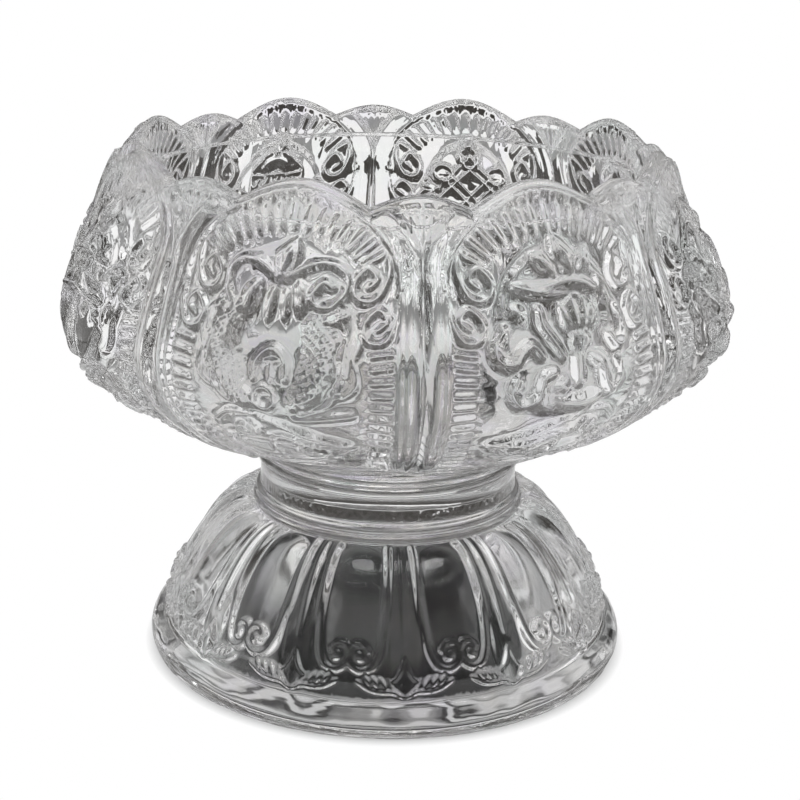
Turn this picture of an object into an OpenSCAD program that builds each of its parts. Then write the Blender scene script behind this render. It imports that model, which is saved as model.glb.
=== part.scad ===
// Pressed-glass lamp holder: a lobed bowl bonded to a hollow, ribbed foot.
// Millimetres, +Z up, origin on the table under the middle of the foot.

/* [Bowl] */
// Widest diameter, across the fields of the panels
bowl_d = 97.6; // [90:0.1:108]
// Height of the widest line above the table
belly_z = 55; // [51:0.5:60]
// Outer diameter of the rim at its notches
rim_d = 80.4; // [74:0.1:88]
// Height of the rim's notches above the table
rim_z = 76.2; // [72:0.1:84]
// Wall thickness at the rim
rim_wall = 3.6; // [2.8:0.1:5]
// Wall thickness at the widest line
belly_wall = 5; // [3.5:0.1:7]
// Thickness of the floor above the joint
floor_t = 6; // [4:0.1:9]
// Diameter of the flat floor that the lamp stands on
floor_d = 44; // [34:0.5:50]
// How far below the rim's notches the thinner lip begins
lip_drop = 3.4; // [2:0.1:5]
// How much thinner the lip is than the wall under it
lip_step = 0.5; // [0.2:0.1:1]

/* [Bowl ornament] */
// Panels round the bowl, one rib between each two
panels = 8; // [6:1:10]
// Rise of the wide scallop over each panel
wide_scallop = 3.2; // [1:0.1:5]
// Rise of the narrow scallop over each rib
narrow_scallop = 1.7; // [0.5:0.1:3]
// Width of each rib, a pair of round flutes
rib_w = 7.2; // [5:0.1:9]
// How far the flutes of a rib stand out
rib_h = 1; // [0.4:0.1:1.8]
// Width of the raised border inside each panel's arch
border_w = 4.6; // [3:0.1:6]
// How far the border stands out
border_h = 0.8; // [0.3:0.1:1.5]
// How far the bowl is drawn in between two panels
lobe_depth = 1.2; // [0.5:0.1:3]
// Height above the table where the arches spring
arch_spring_z = 67; // [58:0.5:70]
// Width of the carved emblem in the middle of each panel
emblem_w = 21; // [14:0.5:24]
// Height of the emblem, from its lower to its upper edge
emblem_tall = 30; // [22:0.5:32]
// Height of the emblem's middle above the table
emblem_z = 57; // [54:0.5:60]
// How far the emblem stands out
emblem_h = 1.9; // [0.5:0.1:2.5]

/* [Foot] */
// Diameter of the flange that stands on the table
foot_d = 73.8; // [66:0.1:84]
// Height of the joint with the bowl above the table
joint_z = 33; // [30:0.1:38]
// Height of the flange
flange_h = 5.2; // [4:0.1:8]
// Width of the flat ring that touches the table
stand_w = 4.4; // [3:0.1:6]
// Height of the shoulder of the dome, where the neck begins
shoulder_z = 22.8; // [20:0.1:26]
// Wall thickness of the dome
dome_wall = 4.6; // [3:0.1:6]
// Glass left between the hollow and the joint
neck_web = 11; // [9:0.5:18]

/* [Foot ornament] */
// Ribs round the dome
foot_ribs = 13; // [8:1:16]
// Width of each rib
foot_rib_w = 5; // [3.5:0.1:7]
// How far each rib stands out
foot_rib_h = 0.9; // [0.3:0.1:1.5]
// How far the panels between the ribs swell
foot_panel_h = 0.7; // [0:0.1:1.5]
// Diameter of the scroll on each side of a rib's lower end
scroll_d = 4.6; // [3:0.1:6]
// How far the scrolls stand out
scroll_h = 1.2; // [0.5:0.1:2]
// Height of the scrolls' middles above the table
scroll_z = 9.8; // [8:0.1:12]

/* [Neck and joint] */
// Diameter of the neck between its two rings
neck_d = 39.6; // [36:0.1:44]
// How far the lower ring stands out from the neck
lower_ring_out = 1; // [0.5:0.1:3]
// Height of the lower ring
lower_ring_h = 2.8; // [2:0.1:4.5]
// How far the upper ring stands out from the neck
upper_ring_out = 0.4; // [0.3:0.1:2]
// Height of the upper ring
upper_ring_h = 2.8; // [2:0.1:4]
// Diameter of the boss under the bowl that centres it on the foot
boss_d = 28; // [20:0.5:32]
// Length of that boss
boss_h = 2; // [1:0.1:3]
// Thickness of the clear bond between bowl and foot
bond_t = 0.2; // [0.1:0.05:0.4]

/* [Hidden] */
$fn = 96;
glass = [0.86, 0.89, 0.90, 0.45];
clear_bond = [0.93, 0.93, 0.88, 0.6];

// Bowl: derived sizes
belly_r = bowl_d / 2;
rim_r = rim_d / 2;
bowl_z0 = joint_z + bond_t;
pad_r = neck_d / 2 - 0.3;
floor_z = bowl_z0 + floor_t;
arch_top_z = rim_z + wide_scallop;
// Softness of the turn at the belly, as a share of the height from there to the rim
belly_round = 0.15;
// Under the belly, this power below 1 makes the bowl fuller
fullness = 0.85;
// Share of the circle's half sector, from a panel's middle, where the rim has its notch
notch_share = 0.58;
// Share of the drawing-in between panels that is left at the rim
rim_lobe_share = 0.35;
half_sector = 180 / panels;
// Angle from a panel's middle to its arch, so that the flutes of two panels share a rib
arch_a = half_sector - rib_w / 2 / belly_r * 180 / PI;
// Length along the belly that one degree takes
belly_mm_per_deg = belly_r * PI / 180;
// Rounding of the rim's edge, as a share of its wall
rim_round = 0.35;

// Foot: derived sizes
flange_r = foot_d / 2;
flange_lean = 0.9;
flange_step = 2.5;
dome_r = flange_r - flange_step;
shoulder_r = neck_d / 2 + lower_ring_out - 0.4;
// The dome's radius grows from shoulder to flange by this power of the fall
dome_power = 0.5;
foot_sector = 360 / foot_ribs;
// Direction of the front, where one rib of the foot is
front_a = -90;
// A rib's flank slopes over this width
rib_flank = 0.4;
// Each scroll's middle lies this far round from its rib's middle, in sectors
scroll_offset = 0.36 * foot_sector;
hollow_top = joint_z - neck_web;
hollow_r = flange_r - flange_lean - stand_w;

// Grid counts: columns to half a sector, rows up the wall
rib_steps = 3;
border_steps = 2;
field_steps = 8;
wall_rows = 24;
foot_field_steps = 5;
dome_rows = 16;

// Emblems: raised strokes in the emblem's own frame, where x runs from -1 to 1 across it and y from -1 to 1
// up it. A stroke has its points, its half width as a share of half the emblem, and its share of emblem_h.
function both_sides(strokes) = concat(
    strokes,
    [for (stroke = strokes) [[for (p = stroke[0]) [-p.x, p.y]], stroke[1], stroke[2]]]);
function arc_path(x, y, wide, tall, from, to) = [
    for (i = [0 : 6])
        let (a = from + (to - from) * i / 6)
        [x + wide * cos(a), y + tall * sin(a)]];
bud = [[[0, 0.74], [0.04, 1]], 0.14, 0.6];
ribbons = both_sides([[[[0.6, 0.42], [0.9, 0.36], [0.88, 0.06], [0.78, -0.18]], 0.15, 0.45]]);
wave = [
    [[[-0.8, -0.66], [-0.4, -0.52], [0.2, -0.63], [0.8, -0.75]], 0.26, 0.7],
    [[[-0.5, -0.9], [0.45, -0.9]], 0.22, 0.4]];
fish = both_sides([
    [[[0.33, 0.6], [0.54, 0.3], [0.52, 0.02], [0.28, -0.2]], 0.28, 1],
    [arc_path(0.5, 0.68, 0.24, 0.14, 200, -60), 0.13, 0.7]]);
vase = [
    [[[-0.5, 0.65], [0.46, 0.62]], 0.14, 0.8],
    [[[0.09, 0.54], [0.14, 0.32]], 0.4, 1],
    [[[0.1, 0.22], [0.1, -0.12]], 0.18, 0.75],
    [[[-0.18, -0.2], [0.4, -0.2]], 0.17, 0.75]];
lotus = concat(
    [for (lean = [-78 : 26 : 78])
        [[[0.2 * sin(lean), 0.1 * cos(lean)], [0.8 * sin(lean), 0.72 * cos(lean)]], 0.19, 0.85]],
    [[[[-0.45, -0.2], [0.45, -0.2]], 0.16, 0.6]]);
conch = [
    [arc_path(0, 0.33, 0.56, 0.4, -60, 150), 0.22, 0.9],
    [arc_path(-0.06, 0.33, 0.38, 0.27, 150, 400), 0.2, 0.9],
    [[[0.36, -0.02], [0.04, -0.18], [-0.26, -0.26]], 0.23, 0.8]];
knot = [for (step = [-0.75 : 0.75 : 0.75], way = [-1, 1])
    let (shift = [0.4 * step, -0.28 * step * way])
    [[[-0.4 + shift.x, 0.3 - 0.28 * way + shift.y], [0.4 + shift.x, 0.3 + 0.28 * way + shift.y]], 0.13, 0.85]];
banner = [
    [[[0, 0.6], [0, -0.06]], 0.44, 0.9],
    [[[-0.26, 0.7], [0, 0.75], [0.26, 0.7]], 0.18, 0.8],
    [[[-0.45, -0.2], [0.45, -0.2]], 0.13, 0.8]];
wheel = concat(
    [[concat(arc_path(0, 0.34, 0.62, 0.42, 0, 180), arc_path(0, 0.34, 0.62, 0.42, 180, 360)), 0.2, 0.9]],
    [for (turn = [0 : 45 : 315]) [[[0, 0.34], [0.55 * cos(turn), 0.34 + 0.37 * sin(turn)]], 0.1, 0.6]]);
parasol = [
    [[[-0.4, 0.5], [0, 0.66], [0.4, 0.5]], 0.25, 0.9],
    [[[-0.6, 0.2], [0, 0.38], [0.6, 0.2]], 0.26, 0.9],
    [[[0, 0.2], [0, -0.24]], 0.13, 0.6]];
emblems = [fish, vase, lotus, conch, knot, banner, wheel, parasol];
// The panel on this place round the bowl, from +X, carries the first emblem
first_place = 5;

function clamp01(x) = min(1, max(0, x));
// A round-topped ridge: 1 halfway between a and b, 0 at both
function ridge(x, a, b) =
    let (t = (2 * x - a - b) / (b - a))
    abs(t) < 1 ? sqrt(1 - t * t) : 0;

// From 0 at the belly to 1 at the rim: level at first, then a straight taper
function taper(t) =
    (sqrt(t * t + belly_round * belly_round) - belly_round)
    / (sqrt(1 + belly_round * belly_round) - belly_round);

// Radius of the bowl's wall at a panel's middle, before its ornament
function wall_r(z) =
    z < belly_z
        ? pad_r + (belly_r - pad_r) * sin(90 * pow(clamp01((z - bowl_z0) / (belly_z - bowl_z0)), fullness))
        : belly_r - (belly_r - rim_r) * taper((z - belly_z) / (rim_z - belly_z));

// Place of the panel at an angle, counted from +X; panels lie half a sector off the axes
function panel_at(a) = floor(a / (2 * half_sector));
// Angle from that panel's middle, positive to the right as seen from outside
function from_panel(a) = a - (2 * panel_at(a) + 1) * half_sector;

// Distance outwards from the arch's line, along the wall, in mm
function arch_distance(da, z) =
    let (rise = max(0, (z - arch_spring_z) / (arch_top_z - arch_spring_z)))
    (sqrt(pow(da / arch_a, 2) + rise * rise) - 1) * arch_a * belly_mm_per_deg;

// How strongly ornament shows at a height: it fades out under the bowl
function ornament_fade(z) = clamp01((z - bowl_z0 - 2) / 6);

// The drawing-in between panels eases off from the belly to the rim
function lobe(da, z) =
    let (up = clamp01((z - belly_z) / (rim_z - belly_z)))
    lobe_depth * (1 - (1 - rim_lobe_share) * up) * pow(da / half_sector, 2);

// Distance from a point to the straight line between two others
function segment_distance(p, a, b) =
    let (
        along = b - a,
        share = clamp01((p - a) * along / max(along * along, 1e-6)))
    norm(p - a - share * along);

// Height of one stroke over a point; both are in the emblem's frame, distances in mm
function stroke_height(stroke, p) =
    let (
        half = [emblem_w / 2, emblem_tall / 2],
        path = [for (q = stroke[0]) [q.x * half.x, q.y * half.y]],
        gap = min([for (i = [1 : len(path) - 1]) segment_distance(p, path[i - 1], path[i])]),
        t = gap / (stroke[1] * half.x))
    t < 1 ? stroke[2] * emblem_h * (1 - t * t) : 0;

// All the strokes on a panel; the wave's crest points the other way on every other one
function panel_strokes(place) =
    let (
        number = (place - first_place + 2 * len(emblems)) % len(emblems),
        way = number % 2 == 0 ? 1 : -1)
    concat(
        emblems[number], [bud], ribbons,
        [for (stroke = wave) [[for (p = stroke[0]) [way * p.x, p.y]], stroke[1], stroke[2]]]);
strokes_at = [for (place = [0 : panels - 1]) panel_strokes(place)];

function emblem(a, z) =
    let (p = [from_panel(a) * PI / 180 * wall_r(z), z - emblem_z])
    abs(p.x) > emblem_w * 0.6 || abs(p.y) > emblem_tall * 0.6
        ? 0
        : max([for (stroke = strokes_at[panel_at(a) % panels]) stroke_height(stroke, p)]);

function bowl_relief(a, z) =
    let (
        da = abs(from_panel(a)),
        d = arch_distance(da, z))
    ornament_fade(z) * (
        border_h * ridge(d, -border_w, 0)
        + rib_h * ridge(d, 0, rib_w / 2)
        + emblem(a, z)
        - lobe(da, z)
    );

// The rim's height: a wide scallop over each panel and a narrow one over each rib
function rim_height(a) =
    let (
        da = abs(from_panel(a)),
        notch_a = notch_share * half_sector)
    da < notch_a
        ? rim_z + wide_scallop * cos(90 * da / notch_a)
        : rim_z + narrow_scallop * sin(90 * (da - notch_a) / (half_sector - notch_a));

function bowl_point(a, z) =
    let (r = wall_r(z) + bowl_relief(a, z))
    [r * cos(a), r * sin(a), z];

// Column angles: close together on the ribs, wider apart on the panels' fields
half_angles = let (
        rib_a = half_sector - arch_a,
        border_a = border_w / belly_mm_per_deg,
        field_a = arch_a - border_a)
    concat(
        [for (i = [0 : rib_steps - 1]) rib_a * i / rib_steps],
        [for (i = [0 : border_steps - 1]) rib_a + border_a * i / border_steps],
        [for (i = [0 : field_steps - 1]) rib_a + border_a + field_a * i / field_steps]);
sector_angles = concat(
    half_angles,
    [half_sector],
    [for (i = [len(half_angles) - 1 : -1 : 1]) 2 * half_sector - half_angles[i]]);
bowl_angles = [for (p = [0 : panels - 1], a = sector_angles) p * 2 * half_sector + a];

// One ring of the bowl's wall at a share of the way up to the scalloped rim
function wall_ring(share) = [
    for (a = bowl_angles)
        let (top = rim_height(a) - rim_round * rim_wall)
        bowl_point(a, bowl_z0 + share * (top - bowl_z0))];

// The rim's rounded edge: rings that climb inwards from the wall's last ring
function rim_ring(inwards, below_top) = [
    for (a = bowl_angles)
        let (
            top = rim_height(a),
            p = bowl_point(a, top - rim_round * rim_wall),
            r = norm([p.x, p.y]) - inwards)
        [r * cos(a), r * sin(a), top - below_top]];

// A closed solid from rings of equal length, with a point at each end
module ring_solid(rings, first, last) {
    n = len(rings[0]);
    m = len(rings);
    points = concat([first], [for (ring = rings, p = ring) p], [last]);
    base = [for (i = [0 : n - 1]) [0, 1 + i, 1 + (i + 1) % n]];
    sides = [for (j = [0 : m - 2], i = [0 : n - 1])
        let (
            a = 1 + j * n + i,
            b = 1 + j * n + (i + 1) % n)
        each [[a, a + n, b], [b, a + n, b + n]]];
    top = [for (i = [0 : n - 1])
        [1 + m * n, 1 + (m - 1) * n + (i + 1) % n, 1 + (m - 1) * n + i]];
    polyhedron(points = points, faces = concat(base, sides, top), convexity = 8);
}

// The bowl's outside, filled: wall rings, then the rounded rim, closed at the axis
module bowl_outside() {
    top_z = rim_z;
    wall = [for (i = [0 : wall_rows]) wall_ring(pow(i / wall_rows, 0.85))];
    rim = [
        rim_ring(rim_round * rim_wall * 0.35, rim_round * rim_wall * 0.3),
        rim_ring(rim_wall / 2, 0),
        rim_ring(rim_wall * 1.6, 0)];
    ring_solid(concat(wall, rim), [0, 0, bowl_z0], [0, 0, top_z]);
}

// The round hollow that the plunger leaves: floor, curved wall and mouth
module bowl_hollow() {
    floor_r = floor_d / 2;
    inner_belly_r = belly_r - lobe_depth - belly_wall;
    inner_rim_r = rim_r - rim_wall;
    mouth_z = arch_top_z + 1;
    steps = 14;
    low = [for (i = [0 : steps])
        let (t = i / steps)
        [floor_r + (inner_belly_r - floor_r) * sin(90 * t), floor_z + (belly_z - floor_z) * (1 - cos(90 * t))]];
    lip_z = rim_z - lip_drop;
    under_lip_r = inner_rim_r - lip_step;
    high = [for (i = [1 : steps])
        let (t = i / steps)
        [inner_belly_r - (inner_belly_r - under_lip_r) * taper(t), belly_z + (lip_z - belly_z) * t]];
    lip = [[inner_rim_r, lip_z + lip_step], [inner_rim_r, mouth_z], [0, mouth_z]];
    rotate_extrude()
        polygon(concat([[0, floor_z]], low, high, lip));
}

module bowl() {
    color(glass) {
        difference() {
            bowl_outside();
            bowl_hollow();
        }
        translate([0, 0, bowl_z0 - boss_h])
            cylinder(d = boss_d, h = boss_h + floor_t / 2);
    }
}

// Radius of the dome before its ornament
function dome_wall_r(z) =
    let (fall = clamp01((shoulder_z - z) / (shoulder_z - flange_h)))
    shoulder_r + (dome_r - shoulder_r) * pow(fall, dome_power);

// Signed angle from the middle of the nearest foot rib
function from_rib(a) =
    let (turn = a / foot_sector - floor(a / foot_sector + 0.5))
    turn * foot_sector;

function dome_relief(a, z) =
    let (
        da = from_rib(a),
        r = dome_wall_r(z),
        mm = r * PI / 180,
        x = abs(da) * mm,
        scroll_x = (abs(da) - scroll_offset) * mm,
        scroll_from = norm([scroll_x, z - scroll_z]) / (scroll_d / 2),
        fade = clamp01((shoulder_z - z) / 3),
        rib = foot_rib_h * clamp01((foot_rib_w / 2 + rib_flank - x) / rib_flank),
        scroll = scroll_from < 1 ? scroll_h * sqrt(1 - scroll_from * scroll_from) : 0,
        swell = foot_panel_h * ridge(x, foot_rib_w / 2 + rib_flank, foot_sector * mm - foot_rib_w / 2 - rib_flank))
    fade * max(rib, scroll, swell);

// Column angles over half a sector, so that the columns follow the ribs' edges
function foot_half_angles(z) =
    let (
        deg = 180 / PI / dome_wall_r(z),
        edge = foot_rib_w / 2 * deg,
        flank = edge + rib_flank * deg,
        field = foot_sector / 2 - flank)
    concat(
        [0, edge / 2, edge],
        [for (i = [0 : foot_field_steps]) flank + field * i / foot_field_steps]);

function foot_angles(z) =
    let (half = foot_half_angles(z), n = len(half))
    concat(half, [for (i = [n - 2 : -1 : 1]) foot_sector - half[i]]);

function dome_ring(z) = [
    for (k = [0 : foot_ribs - 1], part_a = foot_angles(z))
        let (
            a = k * foot_sector + part_a,
            r = dome_wall_r(z) + dome_relief(a, z))
        [r * cos(a + front_a), r * sin(a + front_a), z]];

// The ribbed dome, from inside the flange up to the shoulder
module dome() {
    foot_in_flange = flange_h / 2;
    rings = [for (i = [0 : dome_rows])
        dome_ring(foot_in_flange + (shoulder_z - foot_in_flange) * pow(i / dome_rows, 0.8))];
    ring_solid(rings, [0, 0, foot_in_flange], [0, 0, shoulder_z]);
}

// The flange that stands on the table, with a sloping top and a leaning edge
module flange() {
    rotate_extrude()
        polygon([
            [hollow_r - 1, 0],
            [flange_r - flange_lean, 0],
            [flange_r, flange_h * 0.35],
            [flange_r - 0.3, flange_h * 0.75],
            [dome_r + 0.2, flange_h],
            [hollow_r - 1, flange_h]]);
}

// A half-round ring on the neck
module neck_ring(z, out, height) {
    translate([0, 0, z + height / 2])
        rotate_extrude()
            translate([neck_d / 2 + out - height / 2, 0])
                circle(d = height, $fn = 48);
}

// The neck: a plain column that stands in the dome, with a ring at each end and a socket in its top
module neck() {
    neck_in_dome = 2;
    neck_z0 = shoulder_z - neck_in_dome;
    translate([0, 0, neck_z0])
        cylinder(d = neck_d, h = joint_z - neck_z0);
    neck_ring(shoulder_z, lower_ring_out, lower_ring_h);
    neck_ring(joint_z - upper_ring_h, upper_ring_out, upper_ring_h);
}

// The hollow under the foot: a bell that keeps the dome's wall even
module foot_hollow() {
    steps = 14;
    crown_r = shoulder_r - dome_wall;
    outline = [for (i = [0 : steps])
        let (t = i / steps)
        [crown_r + (hollow_r - crown_r) * pow(t, dome_power), hollow_top * (1 - t)]];
    rotate_extrude()
        polygon(concat([[0, hollow_top]], outline, [[hollow_r, -1], [0, -1]]));
}

module socket() {
    socket_d = boss_d + 2 * bond_t;
    translate([0, 0, joint_z - boss_h])
        cylinder(d = socket_d, h = boss_h + 1);
}

module foot() {
    color(glass)
        difference() {
            union() {
                flange();
                dome();
                neck();
            }
            foot_hollow();
            socket();
        }
}

// The cured bond: a film over the land, down the boss and across its end
module bond() {
    color(clear_bond)
        rotate_extrude()
            polygon([
                [0, joint_z - boss_h],
                [boss_d / 2 + bond_t, joint_z - boss_h],
                [boss_d / 2 + bond_t, joint_z],
                [pad_r, joint_z],
                [pad_r, bowl_z0],
                [boss_d / 2, bowl_z0],
                [boss_d / 2, bowl_z0 - boss_h],
                [0, bowl_z0 - boss_h]]);
}

bowl();
foot();
bond();
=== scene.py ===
# %% [markdown]
# # A pressed-glass lamp holder
# The real holder is two pressings of clear glass, a lobed bowl and a ribbed foot, bonded at the neck.
# A hot gob of glass is pressed between a carved mould, which gives the ornament, and a smooth plunger,
# which gives the hollow. This lesson works in that order: it turns a plain blank for each pressing, draws the
# ornament flat on a sheet, and lets Geometry Nodes press the sheet into the blank.

import bpy
import numpy as np
from mathutils import Matrix, Vector


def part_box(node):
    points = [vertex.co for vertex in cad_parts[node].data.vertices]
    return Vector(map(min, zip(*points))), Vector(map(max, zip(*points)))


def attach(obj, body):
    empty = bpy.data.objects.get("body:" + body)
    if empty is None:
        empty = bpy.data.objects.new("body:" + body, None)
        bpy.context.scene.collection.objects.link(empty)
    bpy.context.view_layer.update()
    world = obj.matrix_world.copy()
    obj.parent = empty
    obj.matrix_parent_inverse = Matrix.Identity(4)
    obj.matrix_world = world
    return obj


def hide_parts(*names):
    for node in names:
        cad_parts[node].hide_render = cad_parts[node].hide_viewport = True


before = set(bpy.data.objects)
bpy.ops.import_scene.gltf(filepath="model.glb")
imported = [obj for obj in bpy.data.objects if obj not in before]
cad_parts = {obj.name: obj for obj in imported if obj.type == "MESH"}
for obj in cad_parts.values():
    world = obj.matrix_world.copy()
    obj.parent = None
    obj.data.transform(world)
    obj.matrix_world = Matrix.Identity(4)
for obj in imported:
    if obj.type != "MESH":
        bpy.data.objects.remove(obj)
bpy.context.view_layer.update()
print("nodes:", sorted(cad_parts))

# %% [markdown]
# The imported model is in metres. An ornament a millimetre wide is easier to think about in millimetres, so the
# sizes below are in millimetres and are turned into metres only where a mesh is made. What the frame knows is
# read from it; the rest are the few sizes that the carving needs.

# %% Sizes of the bowl and foot, in millimetres
MM = 0.001
BOWL_LOW, BOWL_HIGH = (np.array(corner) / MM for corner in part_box("bowl"))
_, FOOT_HIGH = (np.array(corner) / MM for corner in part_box("foot"))
BOND_LOW, BOND_HIGH = (np.array(corner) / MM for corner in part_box("bond"))

JOINT_Z = FOOT_HIGH[2]
PAD_Z = BOND_HIGH[2]
PAD_R = BOND_HIGH[0]
BOSS_Z = BOWL_LOW[2]
SOCKET_Z = BOND_LOW[2]
BOSS_R = 14.0
BOND_T = PAD_Z - JOINT_Z
PEAK_Z = BOWL_HIGH[2]

PANELS = 8
BELLY_R, BELLY_Z = 48.8, 55.0
RIM_R, RIM_Z = 40.2, 76.2
NARROW_SCALLOP = 1.7
NOTCH_SHARE = 0.58
RIM_WALL, BELLY_WALL = 2.8, 5.0
FLOOR_R, FLOOR_Z = 22.0, PAD_Z + 6.0
LIP_Z, LIP_STEP = RIM_Z - 3.4, 0.5
LOBE_DEPTH, RIM_LOBE_SHARE = 1.2, 0.35
BELLY_ROUND, FULLNESS = 0.15, 0.85
ARCH_ANGLE = 18.7

FOOT_RIBS = 13
FLANGE_R, FLANGE_H = FOOT_HIGH[0], 5.2
DOME_R = FLANGE_R - 2.5
SHOULDER_Z = 22.8
NECK_R = 19.8
LOWER_RING, UPPER_RING = 1.0, 0.4
SHOULDER_R = NECK_R + LOWER_RING - 0.4
DOME_POWER = 0.5
HOLLOW_R, HOLLOW_TOP, HOLLOW_CROWN_R = FLANGE_R - 5.3, 22.0, SHOULDER_R - 4.6
print(f"joint at {JOINT_Z:.1f} mm, rim peaks at {PEAK_Z:.1f} mm, flange {2 * FLANGE_R:.1f} mm across")

# %% [markdown]
# Geometry trees and shaders are both node trees. One small class wraps a socket so that Python's own
# operators add Math nodes, and one method adds any other node with its settings and its inputs.

# %% A socket that understands arithmetic
class Value:
    """A node's output that Python's operators work on; each operation adds one Math node."""

    def __init__(self, nodes, socket):
        self.nodes = nodes
        self.socket = socket

    def out(self, name):
        return Value(self.nodes, self.socket.node.outputs[name])

    def math(self, operation, *values):
        return self.nodes.add("ShaderNodeMath", {"operation": operation}, dict(enumerate(values)))

    def __add__(self, other):
        return self.math("ADD", self, other)

    def __sub__(self, other):
        return self.math("SUBTRACT", self, other)

    def __rsub__(self, other):
        return self.math("SUBTRACT", other, self)

    def __mul__(self, other):
        return self.math("MULTIPLY", self, other)

    def __truediv__(self, other):
        return self.math("DIVIDE", self, other)

    def at_least(self, other):
        return self.math("MAXIMUM", self, other)

    __radd__ = __add__
    __rmul__ = __mul__


class Nodes:
    """Adds nodes to one tree."""

    def __init__(self, tree):
        self.tree = tree

    def add(self, kind, settings=None, inputs=None, output=0):
        node = self.tree.nodes.new(kind)
        for name, setting in (settings or {}).items():
            if name == "stops":
                self.set_stops(node.color_ramp, setting)
            else:
                setattr(node, name, setting)
        for name, value in (inputs or {}).items():
            if isinstance(value, Value):
                self.tree.links.new(value.socket, node.inputs[name])
            else:
                node.inputs[name].default_value = value
        return Value(self, node.outputs[output]) if node.outputs else node

    @staticmethod
    def set_stops(ramp, stops):
        while len(ramp.elements) < len(stops):
            ramp.elements.new(0.5)
        for element, (position, colour) in zip(ramp.elements, stops):
            element.position = position
            element.color = colour


print("socket arithmetic ready")

# %% [markdown]
# The camera comes first, because everything is judged through it. Its place was found by fitting a pinhole
# camera to the outline in the photograph: it stands close and low, with a small roll, and the object sits a
# little left of the middle of the frame, which the lens shift gives.

# %% Camera at the photograph's viewing angle
CAMERA_DISTANCE, CAMERA_HEIGHT = 252.5, 120.0
CAMERA_AZIMUTH, CAMERA_PITCH, CAMERA_ROLL = np.radians([-5.1, 17.9, 1.17])
LENS, SENSOR, SHIFT_X = 78.0, 36.0, 0.0133

lens = bpy.data.cameras.new("photo_camera")
lens.lens, lens.sensor_width, lens.shift_x = LENS, SENSOR, SHIFT_X
lens.clip_start = 0.01
camera = bpy.data.objects.new("photo_camera", lens)
camera_place = Matrix.Translation((
    CAMERA_DISTANCE * MM * np.sin(CAMERA_AZIMUTH),
    -CAMERA_DISTANCE * MM * np.cos(CAMERA_AZIMUTH),
    CAMERA_HEIGHT * MM))
camera.matrix_world = (
    camera_place
    @ Matrix.Rotation(CAMERA_AZIMUTH, 4, "Z")
    @ Matrix.Rotation(np.pi / 2 - CAMERA_PITCH, 4, "X")
    @ Matrix.Rotation(CAMERA_ROLL, 4, "Z"))
bpy.context.scene.collection.objects.link(camera)
bpy.context.scene.camera = camera
print("camera stands", np.round(camera.location, 3))

# %% [markdown]
# The mould-maker carves on a curved wall, but draws flat. Here a panel's sheet has x along the wall from
# the panel's middle and s up the wall from its widest line, both in real millimetres, so a circle on the
# sheet is a circle on the glass. The wall's own curve is the one that the solids have.

# %% The bowl's wall and its flat sheet
def taper(t):
    """From 0 at the belly to 1 at the rim: level at first, then straight."""
    return (np.hypot(t, BELLY_ROUND) - BELLY_ROUND) / (np.hypot(1, BELLY_ROUND) - BELLY_ROUND)


def wall_r(z):
    """Radius of the bowl's wall at a panel's middle."""
    low = np.clip((z - PAD_Z) / (BELLY_Z - PAD_Z), 0, 1) ** FULLNESS
    under = PAD_R + (BELLY_R - PAD_R) * np.sin(np.pi / 2 * low)
    over = BELLY_R - (BELLY_R - RIM_R) * taper((z - BELLY_Z) / (RIM_Z - BELLY_Z))
    return np.where(z < BELLY_Z, under, over)


def lengths_along(r, z):
    """Distance along an outline from its first point."""
    return np.concatenate([[0], np.cumsum(np.hypot(np.diff(r), np.diff(z)))])


wall_z = np.linspace(PAD_Z, PEAK_Z + 1, 3000)
wall_s = lengths_along(wall_r(wall_z), wall_z)
wall_s -= np.interp(BELLY_Z, wall_z, wall_s)


def sheet_s(z):
    return np.interp(z, wall_z, wall_s)


def height_at(s):
    return np.interp(s, wall_s, wall_z)


print(f"the wall's sheet runs from s = {wall_s[0]:.1f} to {sheet_s(PEAK_Z):.1f} mm")

# %% [markdown]
# Each mark of the ornament is a line with a width and a height, like a bead of wax laid on the sheet. A few
# listed points carry it, and a smooth curve runs through them. A drawing keeps its marks as closely
# spaced points, each with its own half width and height, because that is all the pressing step needs.

# %% A drawing made of lines with width and height
POINT_STEP = 0.2


def smooth_path(points, closed=False):
    """A Catmull-Rom curve through the points, in steps of about POINT_STEP."""
    p = np.array(points, float)
    ends = (p[-1:], p[:2]) if closed else (2 * p[:1] - p[1:2], 2 * p[-1:] - p[-2:-1])
    p = np.concatenate([ends[0], p, ends[1]])
    pieces = []
    for a, b, c, d in zip(p[:-3], p[1:-2], p[2:-1], p[3:]):
        n = max(2, int(np.hypot(*(c - b)) / POINT_STEP))
        t = np.linspace(0, 1, n, endpoint=False)[:, None]
        pieces.append(0.5 * (2 * b + (c - a) * t + (2 * a - 5 * b + 4 * c - d) * t**2
                             + (3 * b - a - 3 * c + d) * t**3))
    return np.concatenate(pieces + [p[-2:-1]])


def sideways(path):
    """Unit steps square to a path, to its left."""
    along = np.gradient(path, axis=0)
    return np.column_stack([-along[:, 1], along[:, 0]]) / np.hypot(*along.T)[:, None]


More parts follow.
